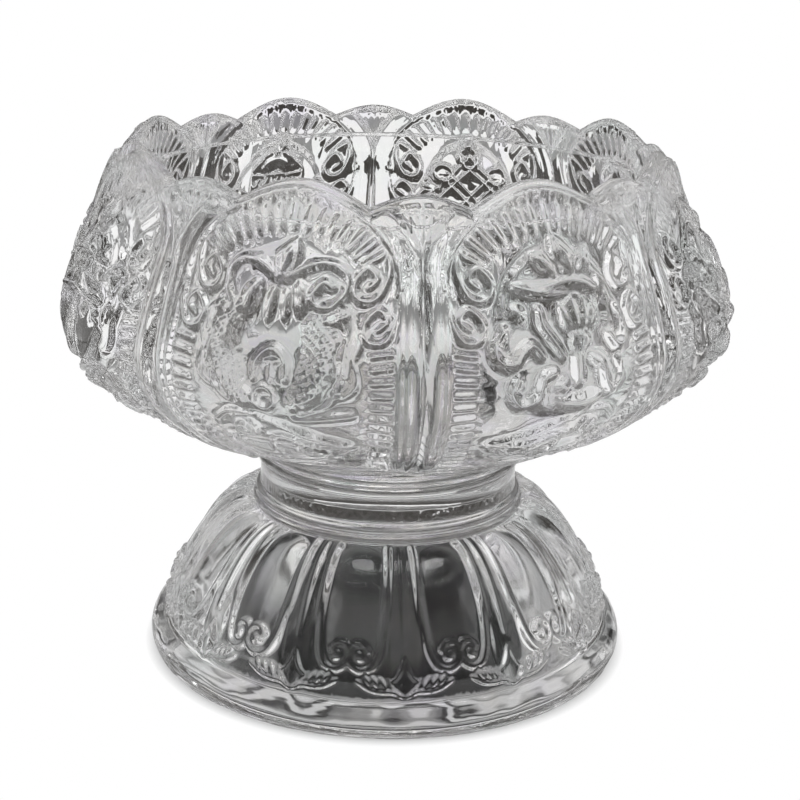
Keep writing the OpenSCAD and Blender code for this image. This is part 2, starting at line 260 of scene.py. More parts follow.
class Drawing:
    """Marks on a flat sheet; each row is x, s, half width, height."""

    def __init__(self):
        self.rows = []

    def line(self, points, width=0.55, height=0.6, ends=0.6, closed=False):
        path = smooth_path(points, closed)
        along = np.linspace(0, 1, len(path))
        swell = 1 if closed else ends + (1 - ends) * np.sin(np.pi * along) ** 0.5
        sizes = np.stack([width * swell * np.ones(len(path)), height * swell * np.ones(len(path))], axis=1)
        self.rows.append(np.hstack([path, sizes]))
        return self

    def dots(self, points, width=0.5, height=0.5):
        points = np.atleast_2d(np.array(points, float))
        self.rows.append(np.hstack([points, np.tile([width, height], (len(points), 1))]))
        return self

    def curl(self, x, s, radius, turns, start=0.0, width=0.5, height=0.7, inner=0.18):
        """A spiral that winds from its rim, at start degrees, to its eye; negative turns wind clockwise."""
        t = np.linspace(0, 1, int(12 * abs(turns)) + 3)
        a = np.radians(start) + 2 * np.pi * turns * t
        r = radius * (1 - (1 - inner) * t)
        return self.line(np.stack([x + r * np.cos(a), s + r * np.sin(a)], axis=1), width, height, 0.8)

    def ring(self, x, s, radius, width=0.5, height=0.6, squash=1.0):
        a = np.linspace(0, 2 * np.pi, 24, endpoint=False)
        points = np.stack([x + radius * np.cos(a), s + squash * radius * np.sin(a)], axis=1)
        return self.line(points, width, height, closed=True)

    def leaf(self, base, tip, swell, width=0.45, height=0.6, vein=True):
        """A pointed leaf from base to tip, swollen to each side."""
        base, tip = np.array(base, float), np.array(tip, float)
        along = tip - base
        side = np.array([-along[1], along[0]]) / np.hypot(*along) * swell
        for turn in (1, -1):
            low = base + 0.3 * along + 0.9 * turn * side
            high = base + 0.6 * along + 0.85 * turn * side
            self.line([base, low, high, tip], width, height)
        if vein:
            self.line([base + 0.1 * along, tip - 0.15 * along], 0.7 * width, 0.7 * height)
        return self

    def moved(self, x, s=0.0, flip=False):
        """A copy that is shifted, and mirrored first if asked."""
        copy = Drawing()
        sign = -1 if flip else 1
        copy.rows = [row * [sign, 1, 1, 1] + [x, s, 0, 0] for row in self.rows]
        return copy

    def add(self, other):
        self.rows += other.rows
        return self

    def as_object(self, name):
        rows = np.concatenate(self.rows)
        mesh = bpy.data.meshes.new(name)
        mesh.vertices.add(len(rows))
        places = np.column_stack([rows[:, :2], np.zeros(len(rows))])
        mesh.vertices.foreach_set("co", places.ravel())
        for attribute, column in (("half_width", 2), ("height", 3)):
            mesh.attributes.new(attribute, "FLOAT", "POINT").data.foreach_set("value", rows[:, column])
        return bpy.data.objects.new(name, mesh)


print("drawing tools ready")

# %% [markdown]
# Every panel has the same border: a thin arch, a row of short bars under its top, two scrolls on each
# shoulder, and a ladder of bars down each side. The bars repeat along a path, so Geometry Nodes set them
# out: points every bar's pitch along the path, and on each a short line of points square to the path.

# %% Geometry Nodes that set bars along a path
def new_tree(name, sockets):
    """A geometry tree with a geometry in and out and the given named inputs."""
    tree = bpy.data.node_groups.new(name, "GeometryNodeTree")
    tree.interface.new_socket("Geometry", in_out="INPUT", socket_type="NodeSocketGeometry")
    tree.interface.new_socket("Geometry", in_out="OUTPUT", socket_type="NodeSocketGeometry")
    for socket, kind in sockets.items():
        tree.interface.new_socket(socket, in_out="INPUT", socket_type=f"NodeSocket{kind}")
    nodes = Nodes(tree)
    return nodes, nodes.add("NodeGroupInput")


def finish_tree(nodes, geometry, material):
    realized = nodes.add("GeometryNodeRealizeInstances", inputs={"Geometry": geometry})
    dressed = nodes.add("GeometryNodeSetMaterial", inputs={"Geometry": realized, "Material": material})
    nodes.add("NodeGroupOutput", inputs={"Geometry": dressed})
    return nodes.tree


def run_tree(blank, tree, values):
    """Evaluates a tree on an object and returns the result as a plain mesh."""
    bpy.context.scene.collection.objects.link(blank)
    modifier = blank.modifiers.new(tree.name, "NODES")
    modifier.node_group = tree
    for item in tree.interface.items_tree:
        if item.in_out == "INPUT" and item.name in values:
            modifier[item.identifier] = values[item.name]
    depsgraph = bpy.context.evaluated_depsgraph_get()
    mesh = bpy.data.meshes.new_from_object(blank.evaluated_get(depsgraph), depsgraph=depsgraph)
    blank.modifiers.remove(modifier)
    bpy.context.scene.collection.objects.unlink(blank)
    return mesh


def bars_tree():
    nodes, given = new_tree("bars_along_path", {"Pitch": "Float", "Bar Length": "Float", "Glass": "Material"})
    curve = nodes.add("GeometryNodeMeshToCurve", inputs={"Mesh": given.out("Geometry")})
    stops = nodes.add("GeometryNodeCurveToPoints", {"mode": "LENGTH"},
                      {"Curve": curve, "Length": given.out("Pitch")})
    turn = nodes.add("FunctionNodeAlignRotationToVector", {"axis": "X", "pivot_axis": "Z"},
                     {"Vector": stops.out("Tangent")})
    reach = given.out("Bar Length") * 0.5
    low = nodes.add("ShaderNodeCombineXYZ", inputs={"Y": reach * -1})
    high = nodes.add("ShaderNodeCombineXYZ", inputs={"Y": reach})
    bar = nodes.add("GeometryNodeMeshLine", {"mode": "END_POINTS"},
                    {"Count": 13, "Start Location": low, "Offset": high})
    bars = nodes.add("GeometryNodeInstanceOnPoints",
                     inputs={"Points": stops, "Instance": bar, "Rotation": turn})
    return finish_tree(nodes, bars, given.out("Glass"))


BARS = bars_tree()


def bars_along(path, pitch, length, width=0.52, height=0.75):
    """A drawing of bars set square to a path."""
    points = np.column_stack([path, np.zeros(len(path))])
    mesh = bpy.data.meshes.new("bar_path")
    mesh.from_pydata(points.tolist(), [(i, i + 1) for i in range(len(points) - 1)], [])
    path_object = bpy.data.objects.new("bar_path", mesh)
    made = run_tree(path_object, BARS, {"Pitch": pitch, "Bar Length": length})
    places = np.empty(3 * len(made.vertices))
    made.vertices.foreach_get("co", places)
    return Drawing().dots(places.reshape(-1, 3)[:, :2], width, height)


print("bars tree has", len(BARS.nodes), "nodes")

# %% [markdown]
# The arch itself is a formula: straight flanks that keep their angle on the round wall, and an ellipse over
# them. Offsets from it give the paths for the bars and, later, the flutes of the ribs between panels.

# %% The border of a panel
ARCH_SPRING_S, ARCH_TOP_S = sheet_s(67.0), 24.2
ARCH_LOW_S = sheet_s(39.0)


def arch_path(inset, low_s, count=160):
    """Half of the arch from a flank's foot to the top, moved inwards by an inset."""
    flank_s = np.linspace(low_s, ARCH_SPRING_S, count)
    z = height_at(flank_s)
    flank_x = np.radians(ARCH_ANGLE) * wall_r(z)
    turn = np.linspace(0, np.pi / 2, count)[1:]
    top_x = flank_x[-1] * np.cos(turn)
    top_s = ARCH_SPRING_S + (ARCH_TOP_S - ARCH_SPRING_S) * np.sin(turn)
    path = np.column_stack([np.concatenate([flank_x, top_x]), np.concatenate([flank_s, top_s])])
    return path + inset * sideways(path)


ARCH = arch_path(0.0, ARCH_LOW_S)
LADDER_LOW_S, LADDER_TOP_S, LADDER_INSET, LADDER_PITCH, LADDER_BAR = -19.0, 4.6, 2.1, 1.62, 2.3
CROWN_LOW_S, CROWN_INSET, CROWN_PITCH, CROWN_BAR = 16.4, 2.7, 1.55, 2.8
border = Drawing()
border.line(ARCH[::8], 0.6, 0.6, 1.0)
ladder = arch_path(LADDER_INSET, ARCH_LOW_S)
ladder = ladder[(ladder[:, 1] >= LADDER_LOW_S) & (ladder[:, 1] <= LADDER_TOP_S)]
border.add(bars_along(ladder, LADDER_PITCH, LADDER_BAR))
crown = arch_path(CROWN_INSET, ARCH_LOW_S)
crown = crown[(crown[:, 1] > CROWN_LOW_S) & (crown[:, 0] >= 0)]
border.add(bars_along(crown[::-1], CROWN_PITCH, CROWN_BAR, 0.62, 0.55))
for scroll in ([(12.6, 17.0), (12.9, 14.6), (11.8, 11.6), (9.7, 11.4), (8.8, 13.4), (10.2, 15.4),
                (11.6, 14.0), (10.6, 12.9)],
               [(14.6, 12.2), (14.7, 9.0), (13.6, 6.2), (11.6, 6.2), (10.7, 8.2), (12.2, 10.2),
                (13.6, 8.8), (12.5, 7.6)]):
    border.line(scroll, 0.62, 0.85)
print("border has", sum(len(row) for row in border.rows), "points")

# %% [markdown]
# Each panel carries one of the eight auspicious emblems in high relief. A carver first raises a soft mound
# and then works lines on it, so each emblem has two drawings: broad mounds and fine lines. The emblems share
# a bud on top, ribbons at the sides and a wave below; only the vase has scarf ends in place of the ribbons.
# They lie on one long sheet, a panel's place apart, so that one nearest-point lookup serves the whole bowl.

# %% Marks that all the emblems share
PANEL_PLACE = 100.0


def bud(mounds, lines, base, tip, swell=1.5):
    """The pointed bud that tops an emblem."""
    mounds.line([base, tip], 1.2 * swell, 1.1, 0.35)
    lines.leaf(base, tip, swell, 0.42, 0.4)


def ribbon(mounds, lines, points, width=0.95):
    """A flat band with a raised edge on each side."""
    path = smooth_path(points)
    side = sideways(path)
    narrow = np.sin(np.pi * np.linspace(0.12, 0.95, len(path)))[:, None] ** 0.6
    mounds.line(path[::4], 1.3 * width, 0.9, 0.6)
    for turn in (1, -1):
        lines.line((path + turn * width * narrow * side)[::4], 0.42, 0.35, 0.7)


def ribbons(mounds, lines):
    """A pair of ribbons that flutter beside the emblem."""
    for turn in (1, -1):
        ribbon(mounds, lines, [(turn * x, s) for x, s in
                               [(6.2, 8.6), (8.4, 8.9), (9.9, 6.6), (9.2, 3.6), (10.0, 0.8), (8.0, -1.0)]])
        lines.curl(turn * 7.9, 9.9, 1.1, turn * 1.1, 270, 0.4, 0.55)


def wave(mounds, lines):
    """The rolling wave below the emblem, with its crest to the right."""
    mounds.line([(-8.5, -8.0), (-4.5, -6.0), (1.0, -7.2), (5.0, -9.2), (8.4, -9.4)], 2.6, 1.0, 0.5)
    mounds.line([(-7.0, -12.0), (-1.0, -13.0), (5.0, -12.0)], 2.2, 0.7, 0.4)
    lines.line([(-9.2, -6.4), (-6.6, -4.2), (-2.4, -3.9), (1.2, -5.4), (4.4, -7.2), (8.7, -8.9)], 0.5, 0.8)
    lines.line([(8.7, -9.1), (5.2, -9.0), (1.8, -8.0), (-1.2, -8.9), (-1.0, -11.6), (2.0, -13.0),
                (5.8, -12.6), (8.6, -9.6)], 0.45, 0.75)
    lines.ring(3.9, -10.9, 1.7, 0.42, 0.7, 0.62)
    lines.curl(-4.4, -6.8, 1.9, -1.5, 60, 0.45, 0.75)
    lines.curl(-7.4, -10.2, 1.7, 1.4, 20, 0.45, 0.7)
    lines.line([(-1.6, -7.0), (1.0, -6.9), (3.6, -8.3)], 0.35, 0.55)
    for step in range(3):
        low = -13.6 - 1.7 * step
        half = 6.6 - 1.5 * step
        lines.line([(-half, low + 0.6), (-0.4 * half, low - 0.7), (0.2 * half, low + 0.2),
                    (half, low - 0.4)], 0.42, 0.6)


def scales(lines, points, half_wide, pitch=1.05):
    """Rows of staggered scales across a body."""
    path = smooth_path(points)
    side = sideways(path)
    stops = np.arange(0, len(path), int(0.85 * pitch / POINT_STEP))
    for row, stop in enumerate(stops):
        reach = half_wide * np.sin(np.pi * (stop + 6) / (len(path) + 12)) ** 0.5
        across = np.arange(-reach, reach + 0.01, pitch) + (row % 2) * pitch / 2
        lines.dots(path[stop] + across[:, None] * side[stop], 0.5, 0.34)


print("shared marks ready")

# %% The two emblems in front: the pair of fish and the vase
def pair_of_fish(mounds, lines):
    """Two fish nose to nose under looped tails, with an arched band between their bodies."""
    bud(mounds, lines, (-0.3, 13.4), (0.9, 18.7), 1.4)
    for head in ([(-3.3, 12.4), (-3.9, 10.6), (-4.2, 8.8)], [(2.2, 12.9), (2.6, 11.2), (2.9, 9.4)]):
        mounds.line(head, 1.5, 1.3, 0.6)
    for petal in ([(-0.9, 12.2), (-1.3, 7.8)], [(0.6, 12.0), (1.0, 8.0)]):
        mounds.line(petal, 0.8, 0.8, 0.4)
    for body in ([(-5.6, 8.2), (-6.9, 5.5), (-6.8, 2.0), (-4.6, -0.6), (-3.0, -1.6)],
                 [(4.6, 8.4), (5.8, 6.2), (6.3, 3.4), (5.4, 0.4), (3.2, -1.6)]):
        mounds.line(body, 2.2, 1.2, 0.6)
        scales(lines, body, 2.3)
    lines.line([(-0.6, 13.4), (-2.6, 14.9), (-5.1, 15.8), (-7.2, 14.4), (-7.4, 12.0), (-6.2, 9.6),
                (-5.2, 9.2)], 0.85, 1.1, 0.8)
    lines.line([(0.6, 13.4), (2.8, 15.0), (5.4, 15.8), (7.7, 14.6), (8.0, 12.2), (6.6, 10.2), (4.7, 10.3),
                (4.2, 11.8), (5.2, 13.2), (6.4, 12.6)], 0.8, 1.1, 0.8)
    lines.line([(-2.2, 1.0), (-2.0, 3.0), (-0.1, 4.7), (1.8, 3.2), (2.0, 1.2)], 0.75, 0.9, 0.9)
    lines.line([(-0.1, 3.0), (-0.1, 0.6)], 0.45, 0.45)
    lines.line([(-1.0, 3.1), (0.8, 3.1)], 0.45, 0.45)
    lines.ring(-0.9, -1.2, 1.3, 0.5, 0.6)
    for turn in (1, -1):
        lines.line([(turn * 8.7, 5.2), (turn * 8.8, 1.6), (turn * 7.2, -1.8), (turn * 3.4, -3.2)], 0.6, 0.7)
    mounds.line([(2.8, -4.4), (9.8, -3.2)], 1.0, 0.9, 0.9)


def treasure_vase(mounds, lines):
    """A vase with a flared mouth and a leaf spray, between thick scarf ends that fall in S-bends."""
    bud(mounds, lines, (2.0, 13.9), (0.3, 19.1), 1.6)
    mounds.line([(3.4, 14.2), (5.6, 17.0)], 1.3, 1.0, 0.4)
    mounds.line([(-0.4, 14.0), (-3.0, 16.6)], 1.2, 0.9, 0.4)
    mounds.line([(-6.1, 12.5), (-2.6, 12.1), (1.6, 12.8), (4.9, 11.8)], 1.2, 1.1, 0.6)
    lines.line([(-6.2, 12.6), (-2.8, 11.4), (1.4, 11.3), (5.2, 11.6)], 0.5, 0.5)
    mounds.line([(1.8, 9.6), (1.7, 7.4)], 3.9, 1.3, 0.9)
    mounds.line([(1.7, 6.4), (1.3, 4.2)], 1.9, 1.1, 0.8)
    for lean in (-2.6, -0.9, 0.9, 2.6):
        lines.line([(1.8 + lean, 10.6), (1.7 + 0.8 * lean, 8.4), (1.5 + 0.3 * lean, 5.6)], 0.5, 0.28)
    mounds.line([(1.0, 3.6), (0.9, 0.6)], 1.2, 1.0, 0.9)
    mounds.line([(-1.6, -1.6), (1.4, -2.1), (4.2, -1.5)], 1.5, 1.0, 0.6)
    for scarf in ([(-8.6, 7.6), (-9.7, 5.6), (-9.6, 3.7), (-8.0, 3.0), (-6.7, 4.4), (-5.2, 5.2),
                   (-4.0, 3.8)],
                  [(-7.4, 1.6), (-8.0, -0.4), (-6.6, -1.9), (-5.0, -0.8), (-4.2, 1.2), (-2.6, 1.8)],
                  [(-3.6, 9.6), (-3.6, 7.6), (-2.4, 5.4), (-1.2, 3.6)],
                  [(8.4, 9.2), (9.2, 7.2), (8.8, 4.8), (7.2, 4.0), (6.0, 5.4)],
                  [(7.4, 2.6), (8.0, 0.4), (6.6, -1.2), (5.0, -0.2), (4.2, 2.0), (2.8, 3.0)]):
        mounds.line(scarf, 1.15, 0.9, 0.7)
        lines.line(scarf, 0.5, 0.55, 0.7)
    for x, s in ((-6.4, 9.4), (6.2, 12.6), (-1.4, 0.2)):
        mounds.dots([(x, s)], 1.2, 0.9)


print("fish and vase drawn")

# %% The emblems at the sides: the lotus and the parasol
def lotus(mounds, lines):
    """A lotus in two tiers of broad pointed petals over a cup of leaves."""
    for tall, spread, swell in ((15.0, (0, 30, 60), 2.4), (9.6, (15, 50, 86), 2.2)):
        for lean in spread:
            for turn in (1, -1):
                a = np.radians(turn * lean)
                tip = (np.sin(a) * (tall - 3), 1 + np.cos(a) * (tall - 2))
                root = (0.35 * tip[0], 1 + 0.35 * (tip[1] - 1))
                mounds.line([root, tip], swell, 1.2, 0.4)
                lines.line([root, tip], 0.5, 0.25)
    mounds.line([(-5.0, -1.8), (0.0, -2.4), (5.0, -1.8)], 1.9, 1.1, 0.5)
    for step in (-2, -1, 0, 1, 2):
        lines.line([(1.4 * step, -0.6), (2.0 * step, -3.4)], 0.5, 0.3)
    bud(mounds, lines, (0.0, 14.4), (0.0, 18.8), 1.3)


def parasol(mounds, lines):
    """A parasol of two tiers with scalloped hems, on its staff."""
    bud(mounds, lines, (0.0, 14.6), (0.0, 18.9), 1.3)
    for top, half, drop in ((14.2, 5.4, 4.4), (9.2, 8.0, 5.0)):
        low = top - drop
        mounds.line([(-0.75 * half, low + 1.4), (0, top - 1.6), (0.75 * half, low + 1.4)], 2.4, 1.2, 0.6)
        lines.line([(-half, low + 0.6), (0, low + 1.5), (half, low + 0.6)], 0.7, 0.7)
        for x in np.linspace(-0.8, 0.8, 5):
            mounds.dots([(x * half, low - 0.4 - 0.6 * x**2)], 1.1, 0.7)
        for x in (-0.6, 0.0, 0.6):
            lines.line([(0.3 * x * half, top - 0.9), (x * half, low + 1.8)], 0.5, 0.25)
    mounds.line([(0, 4.0), (0, -2.4)], 1.3, 1.0, 0.8)


print("lotus and parasol drawn")

# %% The emblems behind: the conch, the endless knot, the banner and the wheel
def conch(mounds, lines):
    """A conch shell that winds to the right."""
    turns = np.linspace(0, 1, 22)
    angle = np.radians(-60) + 2 * np.pi * 1.7 * turns
    reach = 6.6 * (1 - 0.82 * turns)
    coil = np.stack([reach * np.cos(angle), 7.4 + 1.05 * reach * np.sin(angle)], axis=1)
    mounds.line(coil, 2.2, 1.3, 0.8)
    lines.line(coil, 0.5, 0.7)
    mounds.line([(3.6, 2.0), (0.4, -1.6), (-2.6, -3.0)], 2.4, 1.2, 0.4)
    lines.line([(5.6, 4.0), (3.0, -0.6), (-2.8, -3.4), (-1.4, 0.0), (-3.6, 2.6)], 0.46, 0.7)
    for a, r in zip(angle[:15], reach[:15]):
        lines.line([(0.72 * r * np.cos(a), 7.4 + 0.76 * r * np.sin(a)),
                    (1.18 * r * np.cos(a), 7.4 + 1.24 * r * np.sin(a))], 0.34, 0.5)
    bud(mounds, lines, (0.0, 14.6), (0.0, 18.8), 1.2)


def endless_knot(mounds, lines):
    """Crossing cords whose ends close in loops."""
    mounds.ring(0, 6.4, 4.6, 3.6, 0.9)
    for offset in (-3.6, 0.0, 3.6):
        for turn in (1, -1):
            for edge in (-0.55, 0.55):
                a = np.array([-4.6 + offset + edge, 6.4 + turn * (-4.6 - offset) + edge * turn * -1])
                b = np.array([4.6 + offset + edge, 6.4 + turn * (4.6 - offset) + edge * turn * -1])
                lines.line([a, 0.5 * (a + b), b], 0.4, 0.65, 0.9)
    for x, s in ((0, 14.6), (0, -1.8), (8.0, 6.4), (-8.0, 6.4),
                 (4.9, 11.6), (-4.9, 11.6), (4.9, 1.2), (-4.9, 1.2)):
        mounds.dots([(x, s)], 2.4, 1.0)
        lines.ring(x, s, 1.7, 0.48, 0.8)
    bud(mounds, lines, (0.0, 15.6), (0.0, 18.9), 1.1)


def victory_banner(mounds, lines):
    """A banner of hanging tiers under a domed cap."""
    bud(mounds, lines, (0.0, 15.2), (0.0, 19.0), 1.1)
    mounds.line([(-2.6, 13.4), (0.0, 14.6), (2.6, 13.4)], 1.8, 1.2, 0.6)
    lines.line([(-4.8, 12.6), (-3.0, 14.6), (0.0, 15.4), (3.0, 14.6), (4.8, 12.6)], 0.48, 0.8)
    mounds.line([(0.0, 11.0), (0.0, -1.0)], 4.4, 1.3, 0.9)
    for tier in range(4):
        top = 12.2 - 3.7 * tier
        half = 4.9 - 0.25 * tier
        lines.line([(-half, top), (0, top - 0.7), (half, top)], 0.46, 0.75)
        for x in np.linspace(-half + 0.9, half - 0.9, 5):
            lines.line([(x - 0.85, top - 0.7), (x, top - 2.6), (x + 0.85, top - 0.7)], 0.38, 0.6)
    for turn in (1, -1):
        lines.line([(turn * 4.9, 12.2), (turn * 4.4, 4.0), (turn * 4.6, -1.6)], 0.42, 0.7)
    lines.line([(-4.6, -2.0), (0, -3.0), (4.6, -2.0)], 0.46, 0.75)


def wheel(mounds, lines):
    """A wheel of eight spokes with knobs round its rim."""
    mounds.ring(0, 6.6, 6.2, 1.8, 1.2)
    lines.ring(0, 6.6, 7.2, 0.48, 0.8)
    lines.ring(0, 6.6, 5.2, 0.44, 0.7)
    mounds.dots([(0, 6.6)], 2.6, 1.3)
    lines.ring(0, 6.6, 1.9, 0.44, 0.7)
    for spoke in range(8):
        a = np.pi / 4 * spoke
        ray = np.array([np.sin(a), np.cos(a)])
        lines.leaf(2.2 * ray + [0, 6.6], 5.0 * ray + [0, 6.6], 0.7, 0.4, 0.6, False)
        mounds.dots([8.2 * ray + [0, 6.6]], 1.2, 1.1)
    for bead in range(24):
        a = np.pi / 12 * bead
        lines.dots([(6.2 * np.sin(a), 6.6 + 6.2 * np.cos(a))], 0.5, 0.5)
    bud(mounds, lines, (0.0, 14.6), (0.0, 18.9), 1.1)


print("conch, knot, banner and wheel drawn")

# %% [markdown]
# The eight emblems go round the bowl from the panel left of the front rib. The wave's crest points the
# other way on every other panel, as it does on the two panels in front.

# %% Lay the emblems on one long sheet
EMBLEMS = [pair_of_fish, treasure_vase, lotus, conch, endless_knot, victory_banner, wheel, parasol]
all_mounds, all_lines = Drawing(), Drawing()
for place, emblem in enumerate(EMBLEMS):
    mounds, lines = Drawing(), Drawing()
    emblem(mounds, lines)
    if emblem is not treasure_vase:
        ribbons(mounds, lines)
    low_mounds, low_lines = Drawing(), Drawing()
    wave(low_mounds, low_lines)
    flip = place % 2 == 1
    mounds.add(low_mounds.moved(0, flip=flip))
    lines.add(low_lines.moved(0, flip=flip))
    all_mounds.add(mounds.moved(PANEL_PLACE * place))
    all_lines.add(lines.moved(PANEL_PLACE * place))
print("emblem lines hold", sum(len(row) for row in all_lines.rows), "points")

# %% [markdown]
# The ribs between panels open into a fan under each small scallop, with a few rays on it. The mould is
# speckled in the small scallop and over the arch. Rays and speckles belong to the border's sheet, which
# mirrors in the panel's middle, so each is drawn once; the speckles are random with a fixed seed.

# %% Rays and speckles over the ribs and arches
HALF_PANEL = 180.0 / PANELS


def rib_x(s):
    """Distance along the wall from a panel's middle to the rib's middle."""
    return np.radians(HALF_PANEL) * wall_r(height_at(s))


FAN_RAYS, FAN_LOW_S, FAN_TOP_S = 4, 13.4, 22.2
SPECKLE_W, SCALLOP_SPECKLES, ARCH_SPECKLES = 0.45, 60, 70
for ray in range(FAN_RAYS):
    low_s = FAN_LOW_S + 1.1 * ray
    ray_root = (rib_x(low_s) - 0.2 - 0.12 * ray, low_s)
    ray_tip = (rib_x(FAN_TOP_S) - 0.5 - 1.05 * ray, FAN_TOP_S)
    border.line([ray_root, ray_tip], 0.45, 0.3, 0.6)
grain = np.random.default_rng(8)
speckle_aside = grain.uniform(0, 5.0, SCALLOP_SPECKLES)
speckle_s = 22.6 + grain.uniform(0, 1.9, SCALLOP_SPECKLES) * (1 - (speckle_aside / 5.6) ** 2)
border.dots(np.column_stack([rib_x(speckle_s) - speckle_aside, speckle_s]), SPECKLE_W, 0.4)
speckle_x = grain.uniform(0, 8.0, ARCH_SPECKLES)
speckle_s = 24.5 - 0.03 * speckle_x**2 + grain.uniform(-0.9, 0.9, ARCH_SPECKLES)
border.dots(np.column_stack([speckle_x, speckle_s]), SPECKLE_W, 0.55)
print("border has", sum(len(row) for row in border.rows), "points with its rays and speckles")

# %% [markdown]
# A blank is a closed skin of rings: up the outside, over the rim, down the inside. Each vertex carries, as
# attributes, its place on the sheets, the way out of the wall and how much of the relief it takes. Doing
# this on one grid, and not by cutting or joining solids, keeps the glass watertight for refraction.

# %% A closed skin from rings
ROW_STEP = 0.24


def skin(name, rings, attributes):
    """A closed mesh from rings of points in millimetres, with a pole at each end on the axis."""
    count, columns = rings.shape[:2]
    poles = np.array([[0, 0, rings[0, 0, 2]], [0, 0, rings[-1, 0, 2]]])
    places = np.concatenate([rings.reshape(-1, 3), poles]) * MM
    corner = np.arange(count * columns).reshape(count, columns)
    beside = np.roll(corner, -1, axis=1)
    walls = np.stack([corner[:-1], beside[:-1], beside[1:], corner[1:]], axis=-1).reshape(-1, 4)
    low = np.stack([np.full(columns, count * columns), beside[0], corner[0]], axis=-1)
    high = np.stack([corner[-1], beside[-1], np.full(columns, count * columns + 1)], axis=-1)
    mesh = bpy.data.meshes.new(name)
    mesh.from_pydata(places.tolist(), [], walls.tolist() + low.tolist() + high.tolist())
    for attribute, values in attributes.items():
        vector = values.ndim == 3
        rows = values.reshape(count * columns, -1)
        rows = np.concatenate([rows, np.zeros((2, rows.shape[1]))])
        data = mesh.attributes.new(attribute, "FLOAT_VECTOR" if vector else "FLOAT", "POINT").data
        data.foreach_set("vector" if vector else "value", rows.ravel())
    return bpy.data.objects.new(name, mesh)


def even_outline(points, step):
    """The same outline with its points a step apart."""
    points = np.array(points, float)
    along = lengths_along(*points.T)
    stops = np.linspace(0, along[-1], max(2, int(np.ceil(along[-1] / step)) + 1))
    return np.column_stack([np.interp(stops, along, column) for column in points.T])


def half_round(t):
    """A round ridge: 1 at t = 0, and 0 from t = 1 on."""
    return np.maximum(0, 1 - t**2)


print("row step", ROW_STEP, "mm")

# %% [markdown]
# The outside of the bowl follows the solids' formulas: a round belly, a taper to the rim, eight shallow
# lobes, and flutes that follow each arch. An oval boss lifts the middle of each panel, under its emblem. The
# rows bend up into the scallops only near the rim, so that the sheet below stays true.

# %% The plain blank of the bowl
BOWL_COLUMNS = PANELS * 176
RIM_ROUND, RIM_FADE, LOW_FADE, BEND_FROM_Z = 0.7, 0.8, 6.0, 67.0
FLUTE_W, FLUTE_H = 3.2, 0.97
EMBLEM_HALF, EMBLEM_TALL, EMBLEM_S = 8.8, 10.8, 6.6
EMBLEM_RISE, EMBLEM_EDGE = 0.8, 0.2
INNER_BELLY_R, INNER_RIM_R = BELLY_R - BELLY_WALL - LOBE_DEPTH, RIM_R - RIM_WALL
around = np.arange(BOWL_COLUMNS) * 360.0 / BOWL_COLUMNS
panel_index = np.floor(around / (2 * HALF_PANEL)).astype(int) + 1
from_middle = around - (2 * panel_index - 1) * HALF_PANEL
aside = np.abs(from_middle)


def rim_height(aside):
    """A wide scallop over the panel and a narrow one over the rib."""
    notch = NOTCH_SHARE * HALF_PANEL
    wide = RIM_Z + (PEAK_Z - 0.02 - RIM_Z) * np.cos(np.pi / 2 * np.minimum(aside / notch, 1))
    narrow = RIM_Z + NARROW_SCALLOP * np.sin(np.pi / 2 * (aside - notch) / (HALF_PANEL - notch))
    return np.where(aside < notch, wide, narrow)


def arch_distance(x, s):
    """Distance from the arch on the sheet, positive outside it."""
    gap = np.min(np.hypot(x[..., None] - ARCH[:, 0], s[..., None] - ARCH[:, 1]), axis=-1)
    flank = np.radians(ARCH_ANGLE) * wall_r(height_at(s))
    rise = np.clip((s - ARCH_SPRING_S) / (ARCH_TOP_S - ARCH_SPRING_S), 0, 1)
    inside = x < flank * np.sqrt(1 - rise**2)
    return np.where(inside, -gap, gap)


wall_rows = even_outline(np.column_stack([wall_r(wall_z), wall_z]), ROW_STEP)[:, 1]
wall_rows = wall_rows[wall_rows < RIM_Z - RIM_ROUND]
flat_z = np.repeat(wall_rows[:, None], BOWL_COLUMNS, axis=1)
bend = np.clip((flat_z - BEND_FROM_Z) / (wall_rows[-1] - BEND_FROM_Z), 0, 1)
outer_z = flat_z + bend**1.5 * (rim_height(aside) - RIM_ROUND - wall_rows[-1])
outer_x = np.radians(from_middle) * wall_r(outer_z)
outer_s = sheet_s(outer_z)
up = np.clip((outer_z - BELLY_Z) / (RIM_Z - BELLY_Z), 0, 1)
lobe = LOBE_DEPTH * (1 - (1 - RIM_LOBE_SHARE) * up) * (aside / HALF_PANEL) ** 2
half_columns = BOWL_COLUMNS // PANELS // 2 + 1
fold = np.round(aside / 360.0 * BOWL_COLUMNS).astype(int)
first = [int(np.argmax(fold == k)) for k in range(half_columns)]
beyond = arch_distance(np.abs(outer_x[:, first]), outer_s[:, first])[:, fold]
flute = FLUTE_H * half_round((beyond - FLUTE_W / 2) / (FLUTE_W / 2))
oval = np.hypot(outer_x / EMBLEM_HALF, (outer_s - EMBLEM_S) / EMBLEM_TALL)
plateau = np.clip((1 + EMBLEM_EDGE / 2 - oval) / EMBLEM_EDGE, 0, 1)
raised = flute + EMBLEM_RISE * plateau**2 * (3 - 2 * plateau)
low_fade = np.clip((outer_z - PAD_Z - 2) / LOW_FADE, 0, 1)
rim_fade = np.clip((rim_height(aside) - RIM_ROUND - outer_z) / RIM_FADE, 0, 1)
fade = low_fade * rim_fade
lean = np.gradient(wall_r(wall_z), wall_z)
slope = np.interp(outer_z, wall_z, lean)
out_r, out_z = 1 / np.hypot(1, slope), -slope / np.hypot(1, slope)
outer_r = wall_r(outer_z) - lobe + fade * raised * out_r
outer_z = outer_z + fade * raised * out_z
print("outer wall of", outer_r.shape, "points, belly", round(float(outer_r.max()), 2), "mm")

